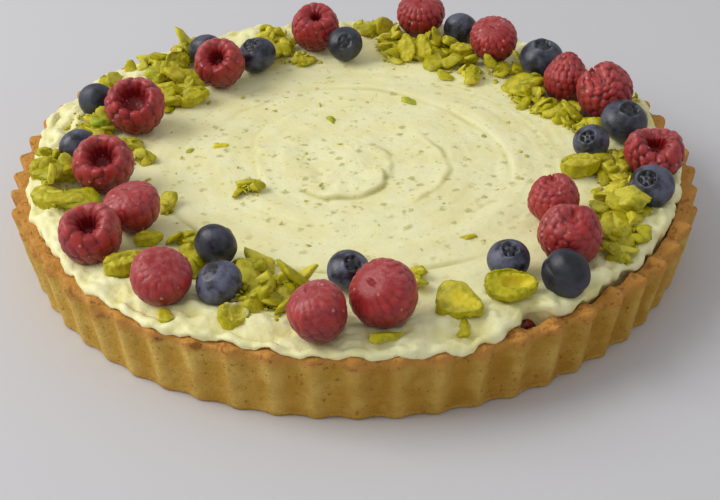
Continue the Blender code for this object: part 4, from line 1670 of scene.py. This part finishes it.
@dataclass
class KernelMaker:
    """Builds large pistachio pieces: a long egg, cut flat, hollowed or furrowed on top."""

    rows: int = 60
    columns: int = 72
    narrowing: float = 0.22
    cut_level: float = 0.28
    rough_size: float = 3.4 * MM
    fine_size: float = 1.3 * MM
    bulk_size: float = 8 * MM
    # How deep the rough, fine and bulk unevenness is on a whole kernel and on a cut one
    whole_uneven: tuple[float, float, float] = (0.7 * MM, 0.4 * MM, 0.5 * MM)
    cut_uneven: tuple[float, float, float] = (1.0 * MM, 0.4 * MM, 1.8 * MM)
    # How soft the edge of the cut is, and the share of the ball above it that stays
    cut_edge: float = 0.12
    whole_bulge: float = 0.34
    half_bulge: float = 0.10
    slice_bulge: float = 0.05
    # The furrow of a whole kernel and the groove of a half one: depth, middle and width
    furrow: tuple[float, float, float] = (0.3, 0.0, 0.16)
    groove: tuple[float, float, float] = (0.10, 0.1, 0.14)
    # The dip of a hollow one: depth, place along it, narrowing across, and its edge
    dip: float = 0.4
    dip_along: float = 0.15
    dip_narrowing: float = 1.3
    dip_edge: tuple[float, float] = (0.2, 0.7)
    gold_edge: tuple[float, float] = (0.45, 0.8)

    def build(self, kernel: Kernel, number: int, finish: bpy.types.Material) -> None:
        """Builds one piece in its node's place.

        The egg is a unit ball along X, narrower at one end. What would stand above the cut
        level is pressed to it, then dips or rises by the kernel's form, and the whole is
        stretched to its sizes and roughened by noise.

        Args:
            kernel: Its sizes and form.
            number: Its number in the wreath.
            finish: Its material.
        """
        polar = np.linspace(0.0, math.pi, self.rows)[:, None]
        around = (np.arange(self.columns) * TURN / self.columns)[None, :]
        x = np.cos(polar) + 0 * around
        narrow = 1 - self.narrowing * x
        y = np.sin(polar) * np.cos(around) * narrow
        z = np.sin(polar) * np.sin(around) * narrow
        over = np.clip(z - self.cut_level, 0, None)
        cut = smooth_step(over, 0.0, self.cut_edge)
        off_middle = np.hypot(x - self.dip_along, self.dip_narrowing * y)
        furrow, groove = (
            depth * bell(y, *place) * cut for depth, *place in (self.furrow, self.groove)
        )
        dips = {
            KernelForm.WHOLE: self.whole_bulge * over - furrow,
            KernelForm.HALF: self.half_bulge * over - groove,
            KernelForm.HOLLOW: -self.dip * cut * (1 - smooth_step(off_middle, *self.dip_edge)),
            KernelForm.SLICE: self.slice_bulge * over,
        }
        z = np.minimum(z, self.cut_level) + dips[kernel.form]
        height = kernel.thickness / (1 + self.cut_level)
        half = np.array([kernel.length / 2, kernel.width / 2, height]) * MM
        rings = np.stack([x, y, z], axis=-1) * half
        rough = fractal(rings + 0.05 * number, self.rough_size, 3, seed=81)
        fine = fractal(rings + 0.05 * number, self.fine_size, 2, seed=83)
        bulk = fractal(rings + 0.07 * number, self.bulk_size, 1, seed=85)
        deep = self.whole_uneven if kernel.form is KernelForm.WHOLE else self.cut_uneven
        uneven = deep[0] * rough + deep[1] * fine + deep[2] * bulk
        rings = rings + outward(rings) * uneven[..., None]
        turn = Matrix.Rotation(math.radians(kernel.heading), 3, "Z") @ Matrix.Rotation(
            math.radians(kernel.roll), 3, "X"
        )
        node = f"pistachio_{number:02d}"
        mesh = closed_mesh(f"{node}_kernel", settle(rings @ np.array(turn).T, node))
        paint(mesh, "cut", np.clip(cut * kernel.fresh + 0.15 * kernel.fresh + 0.2 * rough, 0, 1))
        patch = 1 - smooth_step(off_middle + 0.3 * rough, *self.gold_edge)
        paint(mesh, "gold", kernel.gold * patch * cut)
        paint(mesh, "creamy", kernel.creamy * bell(x, 0.35, 0.4) * smooth_step(z, 0.0, 0.3))
        add_piece(mesh, finish, node)


@dataclass(frozen=True)
class Heap:
    """A heap of chopped pistachio: degrees, millimetres and a number of pieces."""

    angle: float
    radius: float
    spread: float
    pieces: int


# The fields of a heap, in their order
HEAP_ROWS = (
    (109, 108, 5, 9), (107.5, 96, 6, 14), (105, 86, 5, 8), (115, 92, 5, 6), (85, 112, 7, 14),
    (80, 98, 7, 20), (73, 94, 7, 20), (68, 102, 7, 16), (62, 88, 5, 8), (78, 86, 5, 8),
    (59, 93, 4, 8), (51, 91, 5, 8), (47, 99, 5, 8), (42, 112, 6, 8), (53, 81, 3, 4),
    (39, 92, 4, 8), (34, 84, 5, 14), (27, 84, 5, 14), (22, 86, 5, 12), (17, 89, 4, 10),
    (12, 91, 4, 8), (22, 119, 3, 5), (41, 119, 4, 4), (358, 97, 6, 12), (351, 97, 6, 12),
    (344, 99, 6, 12), (340, 107, 5, 12), (333, 98, 5, 8), (328, 107, 6, 16), (323, 109, 5, 10),
    (319.5, 115, 2, 3), (166, 104, 6, 12), (168, 97, 5, 12), (171, 86, 5, 10), (184, 113, 5, 6),
    (189, 108, 6, 8), (194, 112, 5, 5), (199, 111, 5, 5), (203, 106, 3, 3), (137, 112, 6, 12),
    (131, 108, 5, 10), (140, 97, 6, 14), (143, 84, 5, 12), (147, 83, 4, 8), (152, 108, 5, 6),
    (246, 87, 5, 12), (249, 98, 5, 14), (249, 106, 4, 8), (255, 102, 5, 10), (256, 91, 5, 12),
    (235, 96, 3, 4), (219, 90, 3, 3), (210, 77, 2, 2), (182, 80, 3, 3), (214, 46, 3, 4),
    (319, 96, 4, 6), (285, 85, 3, 3), (227, 84, 3, 4), (304, 90, 3, 3),
)
HEAPS = tuple(Heap(*row) for row in HEAP_ROWS)


@dataclass
class Scatter:
    """Many small bits of nut in one mesh, each a ball cut flat by a few random planes."""

    name: str
    seed: int
    smallest: float
    largest: float
    rows: int = 8
    columns: int = 10
    planes: int = 6
    sink: float = 0.22
    pile: float = 0.0
    # The least and the most of a bit's length, width and thickness, as shares of its size
    length: tuple[float, float] = (1.0, 1.4)
    width: tuple[float, float] = (0.65, 1.0)
    thickness: tuple[float, float] = (0.3, 0.6)
    rough: float = 0.22
    creamy: float = 0.0
    # The beta distribution of the sizes, and how far bits tip over, in radians
    size_draw: tuple[float, float] = (1.6, 2.4)
    tip_draw: float = 0.5
    # How fresh a cut face may be, from which freshness it is golden, and how golden
    fresh_between: tuple[float, float] = (0.1, 0.9)
    golden_from: float = 0.86
    golden: float = 0.25
    # How far from a bit's middle its planes cut, as shares of the ball
    cut_between: tuple[float, float] = (0.25, 0.8)
    # The share of a topping's circle that bits keep out of, and how far they reach the rim
    keep_out: float = 0.86
    past_rim: float = 1.5 * MM

    def shapes(self, count: int, draw: np.random.Generator) -> tuple[np.ndarray, np.ndarray]:
        """The bits round the origin, about one unit across, and how much of each is cut.

        In each direction the surface stands where the nearest of the random planes cuts
        the ray, offset / (direction · normal), or at the ball itself, and is then shaken.

        Args:
            count: How many bits.
            draw: The random source.

        Returns:
            Bits by vertices by three, and bits by vertices from 0 (skin) to 1 (cut).
        """
        polar = np.linspace(0.0, math.pi, self.rows)
        ball, _ = revolve(np.stack([np.sin(polar), np.cos(polar)], axis=1), self.columns)
        way = np.concatenate([ball[0, :1], ball[1:-1].reshape(-1, 3), ball[-1, :1]])
        normal = draw.normal(size=(count, self.planes, 3))
        normal /= np.linalg.norm(normal, axis=-1, keepdims=True)
        offset = draw.uniform(*self.cut_between, (count, self.planes))
        facing = np.einsum("vd,npd->nvp", way, normal)
        hit = offset[:, None, :] / np.maximum(facing, 0.05)
        reach = np.minimum(hit.min(axis=-1), 1.0)
        apart = 10.0 * np.arange(count)[:, None, None]
        shake = 1 + self.rough * fractal(way[None] + apart, 0.8, 3, self.seed)
        points = way[None] * (reach * shake)[..., None]
        least, most = zip(self.length, self.width, self.thickness)
        stretch = draw.uniform(least, most, (count, 3))
        return points * stretch[:, None, :], (reach < 0.97).astype(float)

    def build(
        self,
        spots: np.ndarray,
        lift: np.ndarray,
        ground: Cream,
        finish: bpy.types.Material,
        clear: np.ndarray,
    ) -> None:
        """Scatters a bit on each spot that is free and joins them into one mesh.

        Args:
            spots: Places on the cream, x and y.
            lift: How high in its heap each bit lies, from 0 to 1.
            ground: The cream they lie on.
            finish: Their material.
            clear: Circles to stay out of, as x, y and radius.
        """
        draw = np.random.default_rng(self.seed)
        share = draw.beta(*self.size_draw, len(spots))
        size = self.smallest + (self.largest - self.smallest) * share
        away = np.linalg.norm(spots[:, None, :] - clear[None, :, :2], axis=-1)
        free = (away > self.keep_out * clear[None, :, 2] + 0.2 * size[:, None]).all(axis=1)
        free &= np.hypot(*spots.T) + 0.3 * size < ground.shell.inner_rim + self.past_rim
        spots, size, lift = spots[free], size[free], lift[free]
        spin = draw.uniform(0, TURN, len(spots))
        tip = draw.normal(0, self.tip_draw, len(spots))
        self.join(Laid(spots, size, spin, tip, lift), ground, finish, draw)

    def join(
        self, laid: "Laid", ground: Cream, finish: bpy.types.Material, draw: np.random.Generator
    ) -> None:
        """Turns each bit, rests it on the cream and joins them all.

        Args:
            laid: Where and how the bits lie.
            ground: The cream they lie on.
            finish: Their material.
            draw: The random source.
        """
        count = len(laid.spots)
        shape, cut = self.shapes(count, draw)
        cos_tip, sin_tip = np.cos(laid.tip)[:, None], np.sin(laid.tip)[:, None]
        x, y, z = shape[..., 0], shape[..., 1], shape[..., 2]
        x, z = x * cos_tip + z * sin_tip, z * cos_tip - x * sin_tip
        cos_spin, sin_spin = np.cos(laid.spin)[:, None], np.sin(laid.spin)[:, None]
        x, y = x * cos_spin - y * sin_spin, x * sin_spin + y * cos_spin
        points = np.stack([x, y, z], axis=-1) * (laid.size / 2)[:, None, None]
        radius = np.hypot(*laid.spots.T)
        angle = np.degrees(np.arctan2(laid.spots[:, 1], laid.spots[:, 0]))
        base = ground.height(radius, angle)
        low = points[..., 2].min(axis=1)
        height = base - low * (1 - 2 * self.sink) + self.pile * laid.lift
        points += np.concatenate([laid.spots, height[:, None]], axis=1)[:, None, :]
        quads, fans = ring_faces(self.rows - 2, self.columns)
        first = (np.arange(count) * shape.shape[1])[:, None, None]
        mesh = fill_mesh(
            self.name,
            points.reshape(-1, 3),
            (quads[None] + first).reshape(-1, 4),
            (fans[None] + first).reshape(-1, 3),
        )
        fresh = draw.uniform(*self.fresh_between, count)[:, None]
        paint(mesh, "cut", np.clip(0.65 * cut * fresh + 0.35 * fresh, 0, 1).ravel())
        golden = np.reshape(laid.gold, (-1, 1)) + (fresh > self.golden_from) * self.golden
        paint(mesh, "gold", np.clip(0 * cut + golden, 0, 1).ravel())
        paint(mesh, "green", (0 * cut + np.reshape(laid.green, (-1, 1))).ravel())
        paint(mesh, "creamy", (0 * cut + self.creamy).ravel())
        add_piece(mesh, finish, "cream")


@dataclass
class Laid:
    """How many bits lie: places, sizes, turns and tips in radians, heights in the heap."""

    spots: np.ndarray
    size: np.ndarray
    spin: np.ndarray
    tip: np.ndarray
    lift: np.ndarray
    green: np.ndarray | float = 0.0
    gold: np.ndarray | float = 0.0


@dataclass(frozen=True)
class Chip:
    """One large chip: degrees and millimetres, and how green it is."""

    angle: float
    radius: float
    size: float
    heading: float = 0.0
    tip: float = 0.0
    lift: float = 0.0
    green: float = 0.0
    gold: float = 0.0


# The fields of a chip, in their order
CHIP_ROWS = (
    (129.5, 110.0, 14.0, 40, 62, 0.6, 0.15), (126.0, 107.0, 11.0, 330, 12, 0.3),
    (168.5, 99.0, 8.5, 5, 4, 0.9, 0.6), (168.5, 102.0, 8.0, 30, 8, 0.3),
    (340.0, 108.0, 14.0, 70, 10, 0.9), (335.5, 104.5, 13.0, 20, 14, 0.6),
    (331.0, 108.5, 12.0, 110, 6, 0.4), (327.5, 103.0, 11.0, 50, 8, 0.3),
    (324.0, 110.0, 8.5, 10, 5, 0.0), (349.0, 96.0, 13.0, 85, 5, 0.4),
    (354.5, 92.0, 11.0, 20, 10, 0.5), (82.5, 99.0, 11.0, 70, 20, 0.7),
    (67.0, 102.0, 10.0, 10, 20, 0.7), (63.0, 99.5, 10.0, 60, 10, 0.4),
    (213.0, 49.5, 6.5, 60, 8, 0.0), (188.5, 111.0, 16.0, 60, 6, 0.4, 0.1),
    (239.5, 121.0, 8.5, 80, 10, 0.0), (287.0, 117.5, 8.0, 290, 8, 0.0),
    (274.5, 119.5, 8.5, 40, 10, 0.2), (136.0, 94.0, 13.0, 0, 5, 0.2, 0.1),
    (283.0, 90.0, 8.0, 70, 30, 0.2), (62.0, 78.0, 8.0, 310, 4, 0.0),
    (192.5, 108.0, 15.0, 20, 8, 0.8), (198.0, 111.0, 17.0, 330, 8, 0.5, 0.1),
    (202.5, 108.5, 14.0, 20, 10, 0.7), (141.0, 103.0, 14.0, 60, 8, 0.6, 0.15),
    (170.6, 50.6, 5.5, 15, 4, -0.2, 0.0, 0.9), (334.6, 57.8, 3.6, 60, 4, -0.2, 0.0, 0.7),
    (129.3, 49.7, 4.0, 350, 4, -0.2, 0.4), (106.9, 31.2, 5.0, 300, 4, -0.2, 0.3),
    (64.2, 50.8, 6.0, 330, 4, -0.2, 0.3), (305.2, 68.6, 5.0, 20, 4, -0.2, 0.0, 0.3),
    (54.3, 84.8, 7.0, 300, 10, 0.0, 0.2), (174.4, 62.0, 4.5, 60, 4, -0.2, 0.2),
)
CHIPS = tuple(Chip(*row) for row in CHIP_ROWS)


@dataclass
class ChoppedNuts:
    """The chopped pistachio in its heaps, the crumbs round them and flakes in the cream."""

    cream: Cream
    crumbs_per_piece: int = 4
    flakes: int = 50
    flakes_within: float = 86 * MM

    def heap_spots(
        self, times: int, draw: np.random.Generator
    ) -> tuple[np.ndarray, np.ndarray]:
        """Normally scattered spots round each heap's middle.

        Args:
            times: Spots for each piece of the heap.
            draw: The random source.

        Returns:
            The spots, and a height in the heap that falls off with distance.
        """
        count = np.array([times * heap.pieces for heap in HEAPS])
        table = np.array([[heap.angle, heap.radius, heap.spread] for heap in HEAPS])
        angle, radius, spread = np.repeat(table, count, axis=0).T
        off = draw.normal(0, 0.62, (len(angle), 2))
        spots = points_at(radius * MM, np.radians(angle), 0.0)[:, :2]
        lift = draw.uniform(0, 1, len(angle)) * np.exp(-np.sum(off**2, axis=1) / 0.4)
        return spots + off * (spread * MM)[:, None], lift

    def build(self, finish: bpy.types.Material) -> None:
        """Scatters the pieces, crumbs and flakes, clear of the fruit and large nuts.

        Args:
            finish: Their material.
        """
        clear = np.array(TOPPINGS)
        draw = np.random.default_rng(5)
        spots, lift = self.heap_spots(1, draw)
        pieces = Scatter(
            "chopped_pistachio", 11, 4.5 * MM, 14.5 * MM, rows=13, columns=18, pile=4.0 * MM
        )
        pieces.build(spots, lift, self.cream, finish, clear)
        self.lay_chips(finish, draw)
        spots, lift = self.heap_spots(self.crumbs_per_piece, draw)
        crumbs = Scatter(
            "pistachio_crumbs", 12, 1.0 * MM, 4.0 * MM, rows=6, columns=7, pile=4.5 * MM
        )
        crumbs.build(spots, lift, self.cream, finish, clear)
        radius = self.flakes_within * np.sqrt(draw.uniform(0, 1, self.flakes))
        turn = draw.uniform(0, TURN, self.flakes)
        spots = points_at(radius, turn, 0.0)[:, :2]
        flakes = Scatter(
            "flakes_in_cream", 13, 1.2 * MM, 4.2 * MM, rows=6, columns=8, sink=0.48,
            thickness=(0.25, 0.4), creamy=0.3,
        )
        flakes.build(spots, 0 * radius, self.cream, finish, clear)

    def lay_chips(self, finish: bpy.types.Material, draw: np.random.Generator) -> None:
        """Lays the large chips, each in its own place.

        A chip that a topping would cross moves out of its circle, and one that would hang
        over the rim moves in.

        Args:
            finish: Their material.
            draw: The random source.
        """
        table = np.array([astuple(chip) for chip in CHIPS]).T
        angle, radius, width, heading, tip, lift, green, gold = table
        spots = points_at(radius * MM, np.radians(angle), 0.0)[:, :2]
        for x, y, size in TOPPINGS:
            away = spots - (x, y)
            distance = np.linalg.norm(away, axis=1)
            short = np.clip(0.9 * size + 0.3 * width * MM - distance, 0, None)
            spots += away * (short / distance)[:, None]
        limit = self.cream.shell.inner_rim + (3.0 - 0.3 * width) * MM
        spots *= np.minimum(1, limit / np.hypot(*spots.T))[:, None]
        turned = np.radians(heading), np.radians(tip)
        laid = Laid(spots, width * MM, *turned, lift, green, gold)
        chips = Scatter(
            "large_chips", 14, 0.0, 0.0, rows=26, columns=32, planes=5, pile=4.0 * MM,
            thickness=(0.35, 0.5), rough=0.4,
        )
        chips.join(laid, self.cream, finish, draw)


@dataclass
class Studio:
    """A pale floor, soft daylight from the upper left and the camera of the view."""

    lens: float = 80.0
    distance: float = 0.6113
    elevation: float = 31.31
    aim_right: float = 0.1855
    aim_down: float = 0.959
    roll: float = -0.115
    floor_size: float = 6.0
    floor_drop: float = 0.2 * MM
    key_power: float = 14.7
    key_size: float = 1.0
    key_place: tuple[float, float, float] = (-1.15, -0.05, 1.0)
    key_tint: Colour = (1.0, 0.98, 0.95)
    sky: Colour = (0.83, 0.83, 0.85)
    sky_strength: float = 0.58

    def camera(self) -> None:
        """A camera that looks down at the tart, turned a little right and down of it."""
        rise = math.radians(self.elevation)
        place = Vector((0, -math.cos(rise), math.sin(rise))) * self.distance
        ahead = -place.normalized()
        right = Vector((1, 0, 0))
        up = right.cross(ahead)
        ahead += right * math.radians(self.aim_right) - up * math.radians(self.aim_down)
        data = bpy.data.cameras.new("camera")
        data.lens = self.lens
        made = bpy.data.objects.new("camera", data)
        bpy.context.scene.collection.objects.link(made)
        turn = ahead.to_track_quat("-Z", "Y").to_matrix().to_4x4()
        roll = Matrix.Rotation(math.radians(self.roll), 4, "Z")
        made.matrix_world = Matrix.Translation(place) @ turn @ roll
        bpy.context.scene.camera = made

    def daylight(self) -> None:
        """A square soft light aimed at the tart."""
        place = Vector(self.key_place)
        data = bpy.data.lights.new("window", "AREA")
        data.size = self.key_size
        data.energy = self.key_power
        data.color = self.key_tint
        made = bpy.data.objects.new("window", data)
        bpy.context.scene.collection.objects.link(made)
        turn = (-place).to_track_quat("-Z", "Y").to_matrix().to_4x4()
        made.matrix_world = Matrix.Translation(place) @ turn

    def build(self) -> None:
        """Sets up the floor, the sky, the light and the camera."""
        half = self.floor_size / 2
        corners = np.array([(-half, -half, 0), (half, -half, 0), (half, half, 0), (-half, half, 0)])
        quad = np.array([[0, 1, 2, 3]])
        mesh = fill_mesh("floor", corners, quad, np.empty((0, 3), int))
        mesh.materials.append(FloorFinish().make())
        floor = bpy.data.objects.new("floor", mesh)
        floor.location.z = -self.floor_drop
        bpy.context.scene.collection.objects.link(floor)
        world = bpy.data.worlds.new("sky")
        world.use_nodes = True
        background = world.node_tree.nodes["Background"]
        background.inputs["Color"].default_value = (*self.sky, 1)
        background.inputs["Strength"].default_value = self.sky_strength
        bpy.context.scene.world = world
        bpy.context.scene.view_settings.view_transform = "Standard"
        self.daylight()
        self.camera()


def main() -> None:
    """Builds every piece of the tart, then the studio round it."""
    logging.basicConfig(level=logging.INFO, format="%(message)s")
    shell = Shell()
    cream = Cream(shell)
    shell.build(CrustFinish().make())
    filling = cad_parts["berry_filling"]
    filling.data.materials.clear()
    filling.data.materials.append(FillingFinish().make())
    cream.build(CreamFinish().make())
    skin = RaspberryFinish().make()
    for number, berry in enumerate(RASPBERRIES, 1):
        RaspberryMaker().build(berry, number, skin)
    skin = BlueberryFinish().make()
    for number, berry in enumerate(BLUEBERRIES, 1):
        BlueberryMaker().build(berry, number, skin)
    nut = PistachioFinish().make()
    for number, kernel in enumerate(KERNELS, 1):
        KernelMaker().build(kernel, number, nut)
    ChoppedNuts(cream).build(nut)
    Studio().build()


if __name__ == "__main__":
    main()
